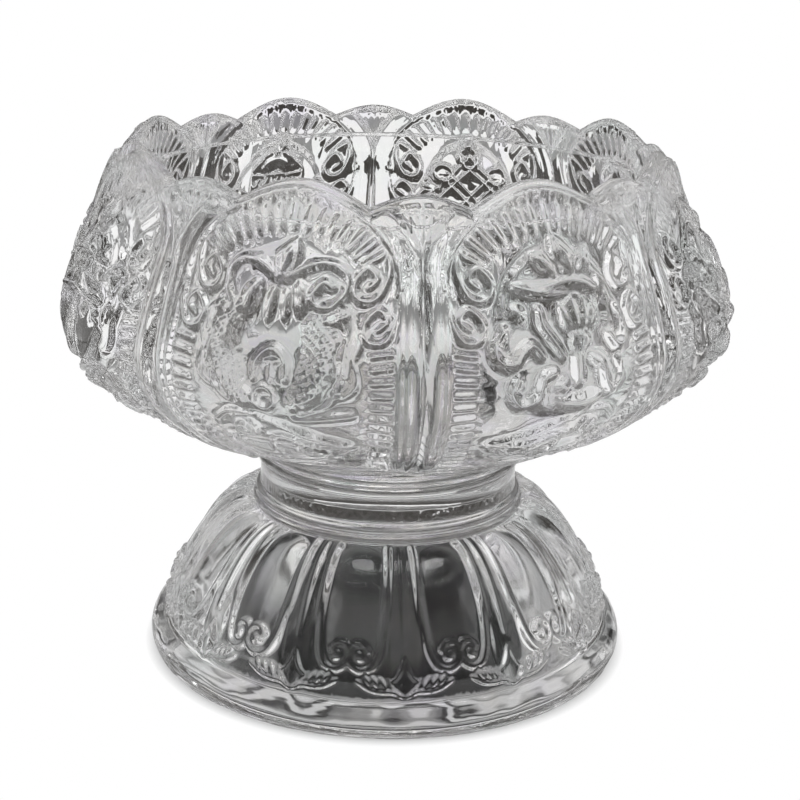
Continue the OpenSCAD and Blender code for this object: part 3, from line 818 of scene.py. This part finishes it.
# %% The rest of the bowl's skin
def turned(r, z, angles):
    """Points on rings; angle 0 is the front, on -Y, and grows to the right."""
    a = np.radians(angles)
    r, z = np.broadcast_arrays(r, z)
    return np.stack([r * np.sin(a), -r * np.cos(a), z], axis=-1)


def plain_rings(outline, angles):
    outline = np.array(outline, float)
    shape = (len(outline), len(angles))
    return turned(np.broadcast_to(outline[:, :1], shape), np.broadcast_to(outline[:, 1:], shape), angles)


under = [(BOSS_R - 0.5, BOSS_Z), (BOSS_R - 0.15, BOSS_Z + 0.12), (BOSS_R, BOSS_Z + 0.45),
         (BOSS_R, PAD_Z - 0.3), (BOSS_R + 0.1, PAD_Z - 0.05), (BOSS_R + 0.4, PAD_Z),
         (PAD_R - 0.8, PAD_Z), (PAD_R - 0.2, PAD_Z)]
over = np.linspace(0, np.pi, 9)[1:-1, None]
edge_r, edge_z = outer_r[-1], outer_z[-1]
rim_r = (edge_r + INNER_RIM_R) / 2 + (edge_r - INNER_RIM_R) / 2 * np.cos(over)
rim_z = edge_z + RIM_ROUND * np.sin(over)
lip_r = np.full((3, BOWL_COLUMNS), INNER_RIM_R)
lip_z = np.stack([edge_z, 0.5 * (edge_z + LIP_Z + 0.7), np.full(BOWL_COLUMNS, LIP_Z + 0.7)])
sink = np.linspace(1, 0, 18)
turn_in = np.linspace(np.pi / 2, 0, 18)
hollow = np.concatenate([
    [(INNER_RIM_R - 0.1, LIP_Z + 0.45), (INNER_RIM_R - LIP_STEP + 0.1, LIP_Z + 0.2)],
    np.column_stack([INNER_BELLY_R - (INNER_BELLY_R - INNER_RIM_R + LIP_STEP) * taper(sink),
                     BELLY_Z + (LIP_Z - BELLY_Z) * sink]),
    np.column_stack([FLOOR_R + (INNER_BELLY_R - FLOOR_R) * np.sin(turn_in),
                     FLOOR_Z + (BELLY_Z - FLOOR_Z) * (1 - np.cos(turn_in))])[1:],
    [(FLOOR_R - 1.5, FLOOR_Z), (FLOOR_R / 2, FLOOR_Z)]])
bowl_rings = np.concatenate([
    plain_rings(under, around), turned(outer_r, outer_z, around), turned(rim_r, rim_z, around),
    turned(lip_r, lip_z, around), plain_rings(hollow, around)])


def on_outer(values, before, total):
    """Values of the outer wall's rows, with zeros on the rows that no mould touches."""
    padded = np.zeros((total,) + values.shape[1:])
    padded[before:before + len(values)] = values
    return padded


flat = np.zeros_like(outer_x)
sheets = {
    "emblem_at": np.stack([outer_x + PANEL_PLACE * (panel_index % PANELS), outer_s, flat], axis=-1),
    "border_at": np.stack([np.abs(outer_x), outer_s, flat], axis=-1),
    "out": turned(out_r, out_z, around),
    "take": fade}
bowl_blank = skin("bowl_blank", bowl_rings, {
    name: on_outer(values, len(under), len(bowl_rings)) for name, values in sheets.items()})
print("bowl blank has", len(bowl_blank.data.vertices), "vertices")

# %% [markdown]
# The foot is a hollow bell. Its outline is one path: out along the hollow, round the base ring, up the
# flange, over the dome, round the neck's rings, and in across the land and the socket that takes the bowl's
# boss. Only the dome carries a drawn ornament, so s is measured along the dome from the flange.

# %% The plain blank of the foot
FOOT_COLUMNS = FOOT_RIBS * 84
HALF_RIB = 180.0 / FOOT_RIBS
SOCKET_R = BOSS_R + 0.2


def ring_bulge(out, tall, low_z, first, last):
    """The round of a neck ring, from one angle to another, in degrees above level."""
    a = np.radians(np.linspace(first, last, 12))
    half = tall / 2
    return np.column_stack([NECK_R + out - half + half * np.cos(a), low_z + half + half * np.sin(a)])


fall = np.linspace(1, 0, 400)
dome = np.column_stack([SHOULDER_R + (DOME_R - SHOULDER_R) * fall**DOME_POWER,
                        SHOULDER_Z - (SHOULDER_Z - FLANGE_H) * fall])
sinks = np.linspace(0, 1, 400)
hollow_wall = np.column_stack([HOLLOW_CROWN_R + (HOLLOW_R - HOLLOW_CROWN_R) * sinks**DOME_POWER,
                               HOLLOW_TOP * (1 - sinks)])
base = [(HOLLOW_R, 0.0), (HOLLOW_R + 0.25, 0.0), (FLANGE_R - 1.3, 0.0), (FLANGE_R - 0.9, 0.12),
        (FLANGE_R - 0.6, 0.45), (FLANGE_R - 0.55, 0.9), (FLANGE_R - 0.25, 1.25), (FLANGE_R - 0.03, 1.9),
        (FLANGE_R, 2.5), (FLANGE_R - 0.12, 3.3), (FLANGE_R - 0.5, 4.1), (FLANGE_R - 1.1, 4.7),
        (FLANGE_R - 1.8, 5.05)]
GROOVE_LOW_Z, GROOVE_MID_Z, GROOVE_HIGH_Z = 26.1, 28.0, 29.8
neck = np.concatenate([
    ring_bulge(LOWER_RING, 1.5, SHOULDER_Z + 0.1, -75, 75),
    ring_bulge(LOWER_RING - 0.4, 1.4, SHOULDER_Z + 1.6, -70, 80),
    [(NECK_R - 0.1, GROOVE_LOW_Z), (NECK_R - 0.2, GROOVE_MID_Z), (NECK_R - 0.1, GROOVE_HIGH_Z)],
    ring_bulge(UPPER_RING, 1.5, GROOVE_HIGH_Z + 0.1, -75, 75),
    ring_bulge(UPPER_RING, 0.9, JOINT_Z - 1.2, -70, 75),
    [(PAD_R + 0.1, JOINT_Z - 0.15), (PAD_R - 0.1, JOINT_Z)]])
socket = [(SOCKET_R + 0.4, JOINT_Z), (SOCKET_R + 0.1, JOINT_Z - 0.06), (SOCKET_R, JOINT_Z - 0.4),
          (SOCKET_R, SOCKET_Z + 0.4), (SOCKET_R - 0.1, SOCKET_Z + 0.06), (SOCKET_R - 0.5, SOCKET_Z)]
stretches = [np.array([(HOLLOW_CROWN_R * 0.6, HOLLOW_TOP)]), even_outline(hollow_wall, 5 * ROW_STEP),
             even_outline(base, 1.4 * ROW_STEP)[1:], even_outline(dome, ROW_STEP),
             even_outline(neck, ROW_STEP), even_outline(socket, 0.4)]
foot_outline = np.concatenate(stretches)
dome_rows = len(stretches[3])
before_dome = sum(len(stretch_rows) for stretch_rows in stretches[:3])
foot_around = np.arange(FOOT_COLUMNS) * 360.0 / FOOT_COLUMNS
from_rib = (foot_around + HALF_RIB) % (2 * HALF_RIB) - HALF_RIB
dome_r, dome_z = (column[:, None] for column in stretches[3].T)
dome_s = lengths_along(dome_r[:, 0], dome_z[:, 0])[:, None] * np.ones(FOOT_COLUMNS)
dome_x = np.radians(np.abs(from_rib)) * dome_r
print(f"dome sheet is {dome_s[-1, 0]:.1f} mm tall, in {dome_rows} rows")

# %% [markdown]
# Each panel of the dome is pillowed between two broad flat ribs, and its top is arched under the neck ring.
# Hot glass leaves the mould a little uneven: slow streaks down the dome, long waves round the flange, and
# fine grains low in the neck's groove. They are smooth, and random with a fixed seed.

# %% Pillows and ribs of the dome
RIB_HALF, RIB_FLANK, RIB_H, PILLOW_H = 2.2, 0.9, 0.5, 0.8
STREAK_H, RIPPLE_H, GRAIN_H = 0.02, 0.1, 0.02
uneven_seed = np.random.default_rng(21)


def uneven(rows, columns, high, wide):
    """Smooth random waves on a grid that closes round the axis; high and wide are in grid steps."""
    rough = np.fft.fft2(uneven_seed.normal(size=(rows, columns)))
    up, along = np.fft.fftfreq(rows)[:, None] * high, np.fft.fftfreq(columns)[None] * wide
    waves = np.fft.ifft2(rough * np.exp(-2 * np.pi**2 * (up**2 + along**2))).real
    return waves / waves.std()


dome_tall = dome_s[-1, 0]
sector_half = np.radians(HALF_RIB) * dome_r
across = np.clip((sector_half - dome_x) / np.maximum(sector_half - RIB_HALF, 0.3), 0, 1)
top_off = np.clip((dome_tall - 0.8 - 1.8 * across**2 - dome_s) / 3.0, 0, 1)
pillow = PILLOW_H * half_round(across) * np.sqrt(1 - (1 - top_off) ** 2) * np.clip(dome_s / 2.5, 0, 1)
band = np.clip((RIB_HALF + RIB_FLANK / 2 - dome_x) / RIB_FLANK, 0, 1)
rib_rise = RIB_H * band**2 * (3 - 2 * band) * np.clip((dome_s - 3.0) / 4, 0, 1)
streaks = STREAK_H * uneven(dome_rows, FOOT_COLUMNS, 30, 5) * np.clip(dome_s / 3, 0, 1)
dome_lift = (pillow + rib_rise + streaks) * np.clip((dome_tall - dome_s) / 1.0, 0, 1)
dome_slope = np.gradient(dome_r[:, 0]) / np.maximum(np.gradient(dome_z[:, 0]), 1e-4)
dome_out_r = (1 / np.hypot(1, dome_slope))[:, None] * np.ones(FOOT_COLUMNS)
dome_out_z = (-dome_slope / np.hypot(1, dome_slope))[:, None] * np.ones(FOOT_COLUMNS)
foot_r = foot_outline[:, :1] * np.ones(FOOT_COLUMNS)
foot_z = foot_outline[:, 1:]
on_flange = (foot_r > HOLLOW_R + 2) * np.clip(foot_z - 1.0, 0, 1) * np.clip(FLANGE_H - foot_z, 0, 1)
in_groove = (foot_r > NECK_R - 0.5) * np.clip((foot_z - GROOVE_LOW_Z) / 0.3, 0, 1)
in_groove = in_groove * np.clip((GROOVE_LOW_Z + 1.6 - foot_z) / 0.5, 0, 1)
foot_r = foot_r - RIPPLE_H * on_flange * (1 + 0.5 * uneven(len(foot_r), FOOT_COLUMNS, 2.2, 40))
foot_r = foot_r + GRAIN_H * in_groove * uneven(len(foot_r), FOOT_COLUMNS, 1.0, 1.3)
foot_rings = turned(foot_r, foot_z, foot_around)
foot_rings[before_dome:before_dome + dome_rows] = turned(
    dome_r + dome_lift * dome_out_r, dome_z + dome_lift * dome_out_z, foot_around)
dome_take = np.clip(dome_s / 0.6, 0, 1) * np.clip((dome_tall - dome_s) / 1.5, 0, 1)
foot_sheets = {
    "border_at": np.stack([dome_x, dome_s, np.zeros_like(dome_x)], axis=-1),
    "out": turned(dome_out_r, dome_out_z, foot_around),
    "take": dome_take}
foot_blank = skin("foot_blank", foot_rings, {
    name: on_outer(values, before_dome, len(foot_rings)) for name, values in foot_sheets.items()})
print("foot blank has", len(foot_blank.data.vertices), "vertices")

# %% [markdown]
# Two round bands run down each rib of the foot, curl outwards at the bottom into a volute with a ball in
# its eye, and leave a small triangular leaf between them. A lobed leaf hangs under each volute, down to the
# point under the rib. The rib is the same on both sides, so half of it is drawn, over the distance from its
# middle.

# %% The ornament of the foot
VOLUTE_X, VOLUTE_S = 6.1, 6.0
foot_lines, foot_mounds = Drawing(), Drawing()
foot_lines.line([(1.6, 23.4), (1.9, 20.0), (2.2, 16.0), (2.5, 12.0), (2.9, 9.2), (3.5, 6.6), (4.5, 4.7),
                 (6.0, 4.1), (7.4, 4.8), (7.8, 6.2), (7.1, 7.5), (5.9, 7.7), (5.1, 6.9)], 0.95, 0.8, 0.85)
foot_lines.line([(0.0, 23.0), (0.0, 16.0), (0.0, 10.0), (0.0, 8.0)], 0.7, 0.28, 0.8)
foot_mounds.dots([(VOLUTE_X + 0.1, VOLUTE_S)], 1.5, 1.1)
foot_mounds.line([(5.6, 2.8), (3.6, 2.4), (1.6, 1.3)], 1.3, 0.6, 0.6)
foot_lines.line([(6.6, 2.6), (5.0, 1.6), (3.2, 1.2), (1.6, 1.2), (0.0, 0.1)], 0.6, 0.6, 0.8)
for lobe in range(4):
    lobe_top = (5.6 - 1.1 * lobe, 3.6 - 0.15 * lobe)
    lobe_tip = (4.8 - 1.0 * lobe, 1.9 - 0.1 * lobe)
    foot_lines.line([lobe_top, lobe_tip], 0.45, 0.45, 0.7)
foot_mounds.line([(0.0, 0.6), (0.0, 4.4)], 1.6, 0.6, 0.6)
foot_lines.line([(0.0, 5.8), (1.0, 3.4), (2.0, 2.6)], 0.45, 0.5, 0.8)
print("foot lines hold", sum(len(row) for row in foot_lines.rows), "points")

# %% [markdown]
# Now the press. For every vertex of a blank the tree finds the nearest point of each drawing, and turns the
# distance to it into a ridge of that point's width and height, with a round top and a soft foot. The vertex
# then moves out along the wall. A displacement texture could do this too, but real geometry is what bends
# light in glass.

# %% Geometry Nodes that press the drawings into a blank
def attribute(nodes, name, kind="FLOAT"):
    return nodes.add("GeometryNodeInputNamedAttribute", {"data_type": kind}, {"Name": name})


def ridge(nodes, drawing, at, spread):
    """Height of the drawing's nearest mark over a place on the sheet: a round top that runs out softly."""
    points = nodes.add("GeometryNodeObjectInfo", {"transform_space": "ORIGINAL"},
                       {"Object": drawing}, "Geometry")
    nearest = nodes.add("GeometryNodeSampleNearest", {"domain": "POINT"},
                        {"Geometry": points, "Sample Position": at})

    def sample(kind, field):
        return nodes.add("GeometryNodeSampleIndex", {"data_type": kind, "domain": "POINT"},
                         {"Geometry": points, "Value": field, "Index": nearest})

    mark = sample("FLOAT_VECTOR", nodes.add("GeometryNodeInputPosition"))
    half_width = sample("FLOAT", attribute(nodes, "half_width"))
    height = sample("FLOAT", attribute(nodes, "height"))
    gap = nodes.add("ShaderNodeVectorMath", {"operation": "DISTANCE"}, {0: at, 1: mark}, "Value")
    t = gap / (half_width * spread)
    rise = (1 - t * t).at_least(0)
    return height * rise * rise


def press_tree(name, layers, spread):
    """A press whose mounds, lines and border are separate drawings, each read at its own sheet place."""
    sockets = {layer: "Object" for layer in layers}
    nodes, given = new_tree(name, {**sockets, "Depth": "Float", "Glass": "Material"})
    heights = {layer: ridge(nodes, given.out(layer), attribute(nodes, at, "FLOAT_VECTOR"), spread)
               for layer, at in layers.items()}
    fine = heights["Lines"]
    if "Border" in heights:
        fine = fine.at_least(heights["Border"])
    relief = (heights["Mounds"] + fine) * attribute(nodes, "take") * given.out("Depth")
    move = nodes.add("ShaderNodeVectorMath", {"operation": "SCALE"},
                     {"Vector": attribute(nodes, "out", "FLOAT_VECTOR"), "Scale": relief * MM}, "Vector")
    pressed = nodes.add("GeometryNodeSetPosition",
                        inputs={"Geometry": given.out("Geometry"), "Offset": move})
    return finish_tree(nodes, pressed, given.out("Glass"))


BOWL_SPREAD, FOOT_SPREAD = 1.3, 1.0
BOWL_PRESS = press_tree(
    "press_bowl", {"Mounds": "emblem_at", "Lines": "emblem_at", "Border": "border_at"}, BOWL_SPREAD)
FOOT_PRESS = press_tree("press_foot", {"Mounds": "border_at", "Lines": "border_at"}, FOOT_SPREAD)
print("bowl press has", len(BOWL_PRESS.nodes), "nodes")

# %% [markdown]
# Pressed glass is clear, but not perfect: the mould leaves a faint orange-peel skin, the plunger a few slow
# waves, and handling a thin haze. Roughness, tint and a shallow bump vary a little. The foot's dome is hazier
# than its flange and neck, which a ramp over the height gives. The clarity and the refraction are plain
# numbers on the shader, because they are the same all over.

# %% Clear pressed glass
HAZE_TOP = 30.0
DOME_HAZE = [(0.0, 0.05), (0.15, 0.05), (0.25, 1.0), (0.65, 1.0), (0.76, 0.05)]
TINTS = [(0.30, (0.925, 0.96, 0.945, 1)), (0.45, (0.975, 0.975, 0.98, 1)),
         (0.58, (0.975, 0.965, 0.945, 1)), (0.70, (0.945, 0.925, 0.985, 1))]
POLISH = 0.005


def grey(level):
    return (level, level, level, 1)


def new_material(name):
    material = bpy.data.materials.new(name)
    material.use_nodes = True
    material.node_tree.nodes.clear()
    return material, Nodes(material.node_tree)


def pressed_glass(name, waves=0.00005, haze=0.012, haze_stops=None):
    """Clear glass; waves is the bump's height in metres, and haze_stops say at which heights it is hazy."""
    material, nodes = new_material(name)
    place = nodes.add("ShaderNodeTexCoord", output="Object")
    slow = nodes.add("ShaderNodeTexNoise", inputs={"Vector": place, "Scale": 90.0, "Detail": 2.0})
    fine = nodes.add("ShaderNodeTexNoise", inputs={"Vector": place, "Scale": 700.0, "Detail": 3.0})
    patch = nodes.add("ShaderNodeTexNoise", inputs={"Vector": place, "Scale": 110.0, "Detail": 1.0})
    tint = nodes.add("ShaderNodeValToRGB", {"stops": TINTS}, {"Fac": patch.out("Fac")}, "Color")
    surface = slow.out("Fac") + 0.07 * fine.out("Fac")
    bump = nodes.add("ShaderNodeBump", inputs={"Height": surface, "Distance": waves, "Strength": 1.0},
                     output="Normal")
    hazy = haze * (fine.out("Fac") * slow.out("Fac"))
    if haze_stops:
        height = nodes.add("ShaderNodeSeparateXYZ", inputs={"Vector": place}, output="Z")
        stops = [(stop, grey(level)) for stop, level in haze_stops]
        hazy = hazy * nodes.add("ShaderNodeValToRGB", {"stops": stops},
                                {"Fac": height / (HAZE_TOP * MM)}, "Color")
    glass = nodes.add("ShaderNodeBsdfPrincipled", inputs={
        "Base Color": tint, "Roughness": POLISH + hazy, "Transmission Weight": 1.0, "IOR": 1.5,
        "Normal": bump})
    nodes.add("ShaderNodeOutputMaterial", inputs={"Surface": glass})
    return material


GLASS = pressed_glass("pressed_glass")
SOFT_GLASS = pressed_glass("soft_pressed_glass", 0.00008, 0.3, DOME_HAZE)
BOND_CLEAR = pressed_glass("clear_bond", 0.00002, 0.02)
print("materials:", GLASS.name, SOFT_GLASS.name, BOND_CLEAR.name)

# %% [markdown]
# The press runs once for each blank. A fine grid holds the carving but wastes faces on the plain walls, so a
# Decimate modifier then spends the faces where the surface bends, and keeps each piece under two hundred
# thousand. Its long thin triangles would shade roughly, which glass shows at once, so a Data Transfer
# modifier carries the fine grid's own normals over to the thinned mesh.

# %% Press the bowl and the foot
TRIANGLE_LIMIT = 196000


def triangles_in(mesh):
    return sum(len(face.vertices) - 2 for face in mesh.polygons)


def piece_from(mesh, name, material):
    """A finished piece: smooth, with one material and a limited face count."""
    piece = bpy.data.objects.new(name, mesh)
    bpy.context.scene.collection.objects.link(piece)
    triangles = triangles_in(mesh)
    if triangles > TRIANGLE_LIMIT:
        mesh.shade_smooth()
        fine = bpy.data.objects.new("fine_" + name, mesh)
        bpy.context.scene.collection.objects.link(fine)
        thin = piece.modifiers.new("thin", "DECIMATE")
        thin.ratio = TRIANGLE_LIMIT / triangles
        shading = piece.modifiers.new("shading", "DATA_TRANSFER")
        shading.object = fine
        shading.use_loop_data = True
        shading.data_types_loops = {"CUSTOM_NORMAL"}
        shading.loop_mapping = "POLYINTERP_NEAREST"
        depsgraph = bpy.context.evaluated_depsgraph_get()
        piece.data = bpy.data.meshes.new_from_object(piece.evaluated_get(depsgraph), depsgraph=depsgraph)
        piece.modifiers.clear()
        bpy.data.objects.remove(fine)
    piece.data.name = name
    for spare in ("emblem_at", "border_at", "out", "take"):
        if spare in piece.data.attributes:
            piece.data.attributes.remove(piece.data.attributes[spare])
    piece.data.materials.clear()
    piece.data.materials.append(material)
    piece.data.shade_smooth()
    print(name, "has", triangles_in(piece.data), "triangles")
    return piece


def press(blank, tree, drawings, name, material, depth):
    """Runs a press on a blank with its drawings, and returns the finished piece."""
    objects = {layer: drawing.as_object(f"{name}_{layer.lower()}") for layer, drawing in drawings.items()}
    for drawing in objects.values():
        bpy.context.scene.collection.objects.link(drawing)
    mesh = run_tree(blank, tree, {**objects, "Depth": depth, "Glass": material})
    for drawing in objects.values():
        bpy.data.objects.remove(drawing)
    return piece_from(mesh, name, material)


RELIEF_DEPTH = 0.8
bowl_drawings = {"Mounds": all_mounds, "Lines": all_lines, "Border": border}
bowl = press(bowl_blank, BOWL_PRESS, bowl_drawings, "bowl_glass", GLASS, RELIEF_DEPTH)
foot_drawings = {"Mounds": foot_mounds, "Lines": foot_lines}
foot = press(foot_blank, FOOT_PRESS, foot_drawings, "foot_glass", SOFT_GLASS, RELIEF_DEPTH)

# %% [markdown]
# The bond is a clear film a fifth of a millimetre thick. If it only touched the glass, each face would
# mirror light as if it met air. So the film reaches a hair into both pieces, and light passes as it does
# through a cured optical bond.

# %% The bond film at the neck
REACH = 0.03
FILM_SIDES = 96
film_angles = np.arange(FILM_SIDES) * 360.0 / FILM_SIDES
film_outline = [
    (SOCKET_R - 0.6, SOCKET_Z - REACH), (SOCKET_R + REACH, SOCKET_Z - REACH),
    (SOCKET_R + REACH, JOINT_Z - REACH), (PAD_R - 0.5, JOINT_Z - REACH), (PAD_R - 0.4, JOINT_Z + BOND_T / 2),
    (PAD_R - 0.5, PAD_Z + REACH), (BOSS_R - REACH, PAD_Z + REACH), (BOSS_R - REACH, BOSS_Z + REACH),
    (BOSS_R - 0.6, BOSS_Z + REACH)]
film_blank = skin("film_blank", plain_rings(film_outline, film_angles), {})
film = piece_from(film_blank.data, "bond_film", BOND_CLEAR)

# %% [markdown]
# Nothing on the holder moves, so all three pieces ride on the one body. Each stands for its solid.

# %% Fix the pieces to the frame
for piece, node, slot in ((bowl, "bowl", "glass"), (foot, "foot", "glass"), (film, "bond", "bond")):
    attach(piece, "root")
    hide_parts(node)
print("pieces:", bowl.name, foot.name, film.name)

# %% [markdown]
# Clear glass has no colour of its own: it shows what stands around it. The floor is pale and looks white to
# the camera. Rays that come through the glass see it in painted grey levels over the distance from the axis:
# painted shade, dark under the foot, and painted light around it. Glass throws wavering streaks of light on
# the table; here they are painted as light and dark streaks, by a noise over that distance.

# %% Painted shade and light on the floor
def from_axis(nodes):
    """Distance from the object's axis along the floor, in metres."""
    place = nodes.add("ShaderNodeTexCoord", output="Object")
    return nodes.add("ShaderNodeVectorMath", {"operation": "LENGTH"}, {0: place}, "Value")


def outside(nodes, inner, outer):
    """0 inside one distance from the axis, in millimetres, and 1 outside another."""
    return nodes.add("ShaderNodeMapRange", inputs={
        "Value": from_axis(nodes), "From Min": inner * MM, "From Max": outer * MM})


def rings_of_grey(nodes, stops):
    """Grey levels over the distance from the axis, in millimetres."""
    reach = stops[-1][0]
    return nodes.add("ShaderNodeValToRGB", {"stops": [(at / reach, grey(level)) for at, level in stops]},
                     {"Fac": from_axis(nodes) / (reach * MM)}, "Color")


WANDER, STREAK_SCALE = 0.006, 1100.0


def painted_light_streaks(nodes):
    """Painted light and dark streaks that wander round the axis under the foot, and 1 outside it."""
    place = nodes.add("ShaderNodeTexCoord", output="Object")
    wander = nodes.add("ShaderNodeTexNoise", inputs={"Vector": place, "Scale": 90.0, "Detail": 2.0})
    bent = from_axis(nodes) + WANDER * wander.out("Fac")
    rings = nodes.add("ShaderNodeTexNoise", {"noise_dimensions": "1D"},
                      {"W": bent, "Scale": STREAK_SCALE, "Detail": 2.0})
    streaks = nodes.add("ShaderNodeMapRange",
                        inputs={"Value": rings.out("Fac"), "From Min": 0.35, "From Max": 0.6})
    return streaks.at_least(outside(nodes, FLANGE_R + 2, FLANGE_R + 10))


print("grey levels ready")

# %% The pale floor
# Painted shade: the floor's own colour is darkest under the foot, and greyer beyond 100 mm.
PAINTED_SHADE_STOPS = [(0, 0.28), (8, 0.24), (14, 0.12), (20, 0.08), (26, 0.3), (32, 0.4), (100, 0.6), (130, 0.35),
               (200, 0.3)]
# Painted light: rays through the glass see the floor glow, none under the foot, bright round it, faint beyond
# 130 mm.
PAINTED_GLOW_STOPS = [(0, 0), (22, 0), (26, 0.4), (38, 0.8), (60, 0.6), (100, 0.55), (130, 0.06), (200, 0.03)]
FLOOR_HALF = 6.0
floor_material, nodes = new_material("pale_floor")
path = nodes.add("ShaderNodeLightPath")
for_camera = path.out("Is Camera Ray") * outside(nodes, FLANGE_R - 3, FLANGE_R + 1)
through_glass = path.out("Is Glossy Ray").at_least(path.out("Is Transmission Ray"))
# Painted light and shade in streaks, seen only through the glass.
for_glass = through_glass * rings_of_grey(nodes, PAINTED_GLOW_STOPS) * painted_light_streaks(nodes)
pale = nodes.add("ShaderNodeBsdfDiffuse", inputs={"Color": rings_of_grey(nodes, PAINTED_SHADE_STOPS)})
glow = nodes.add("ShaderNodeEmission", inputs={"Color": (1, 1, 1, 1), "Strength": 1.0})
mix = nodes.add("ShaderNodeMixShader", inputs={0: for_camera.at_least(for_glass), 1: pale, 2: glow})
nodes.add("ShaderNodeOutputMaterial", inputs={"Surface": mix})
floor_mesh = bpy.data.meshes.new("floor")
floor_corners = [(FLOOR_HALF * x, FLOOR_HALF * y, 0) for x, y in ((-1, -1), (1, -1), (1, 1), (-1, 1))]
floor_mesh.from_pydata(floor_corners, [], [(0, 1, 2, 3)])
floor_mesh.materials.append(floor_material)
floor = bpy.data.objects.new("floor", floor_mesh)
bpy.context.scene.collection.objects.link(floor)
print("floor material has", len(floor_material.node_tree.nodes), "nodes")

# %% [markdown]
# A photographer puts black cards round clear glass, so that its edges draw dark, and white ones where a side
# should stay light. Here a dark ring stands all round, a white card at each side and a low one behind. They
# show only in and through the glass.

# %% Cards round the glass
CARD_STRIPS = 6
DARK, WHITE = (0.05, 0.046, 0.042, 1), (0.95, 0.95, 0.95, 1)
CAMERA_SIDE = np.degrees(CAMERA_AZIMUTH)


def card_ring(name, colour, distance, high, share, first, count):
    """A row of curved cards round the object; share is how much of its arc a card fills."""
    material, nodes = new_material(name)
    nodes.add("ShaderNodeOutputMaterial", inputs={
        "Surface": nodes.add("ShaderNodeEmission", inputs={"Color": colour, "Strength": 1.0})})
    places, faces = [], []
    for card in range(count):
        corner = len(places)
        for strip in np.linspace(-share / 2, share / 2, CARD_STRIPS + 1):
            a = np.radians(first + 360 / count * (card + strip))
            places += [(distance * np.sin(a), -distance * np.cos(a), z) for z in (0.0, high)]
        faces += [(corner + k, corner + k + 2, corner + k + 3, corner + k + 1)
                  for k in range(0, 2 * CARD_STRIPS, 2)]
    mesh = bpy.data.meshes.new(name)
    mesh.from_pydata(places, [], faces)
    mesh.materials.append(material)
    ring = bpy.data.objects.new(name, mesh)
    ring.visible_camera = False
    ring.visible_diffuse = False
    ring.visible_shadow = False
    bpy.context.scene.collection.objects.link(ring)


card_ring("dark_card", DARK, 0.2, 0.2, 1.0, 0.0, 8)
card_ring("side_card", WHITE, 0.19, 0.16, 0.3, CAMERA_SIDE + 90, 2)
card_ring("back_card", WHITE, 0.19, 0.035, 0.1, CAMERA_SIDE + 180, 1)
print("dark ring, two side cards and a back card stand round the object")

# %% [markdown]
# The light is plain and soft: a dim grey world, a softbox overhead and one at each side. They are large, so
# that the highlights on the ridges are soft streaks and not points. Light crosses many walls of glass on its
# way, so the path may bend often before it ends.

# %% World and lamps
scene = bpy.context.scene
scene.view_settings.view_transform = "Standard"
scene.cycles.max_bounces = 32
scene.cycles.transmission_bounces = 32
scene.cycles.glossy_bounces = 16
SKY_LEVEL = 0.18
world = bpy.data.worlds.new("soft_studio")
scene.world = world
world.use_nodes = True
world.node_tree.nodes.clear()
nodes = Nodes(world.node_tree)
nodes.add("ShaderNodeOutputWorld", inputs={
    "Surface": nodes.add("ShaderNodeBackground", inputs={"Color": grey(SKY_LEVEL), "Strength": 1.0})})


def softbox(name, place, size, power):
    """A square lamp that faces the bowl."""
    lamp = bpy.data.lights.new(name, "AREA")
    lamp.size = size
    lamp.energy = power
    box = bpy.data.objects.new(name, lamp)
    toward = Vector((0, 0, BELLY_Z * MM)) - Vector(place)
    box.matrix_world = Matrix.Translation(place) @ toward.to_track_quat("-Z", "Y").to_matrix().to_4x4()
    scene.collection.objects.link(box)


softbox("overhead", (0.0, -0.1, 0.8), 0.5, 3.3)
softbox("left", (-0.7, -0.35, 0.5), 0.35, 1.8)
softbox("right", (0.7, -0.35, 0.5), 0.35, 1.8)
print("lamps:", [light.name for light in bpy.data.lights])

# %% [markdown]
# The dressed part has to stay inside the solids' box.

# %% Finish
print("scene built")
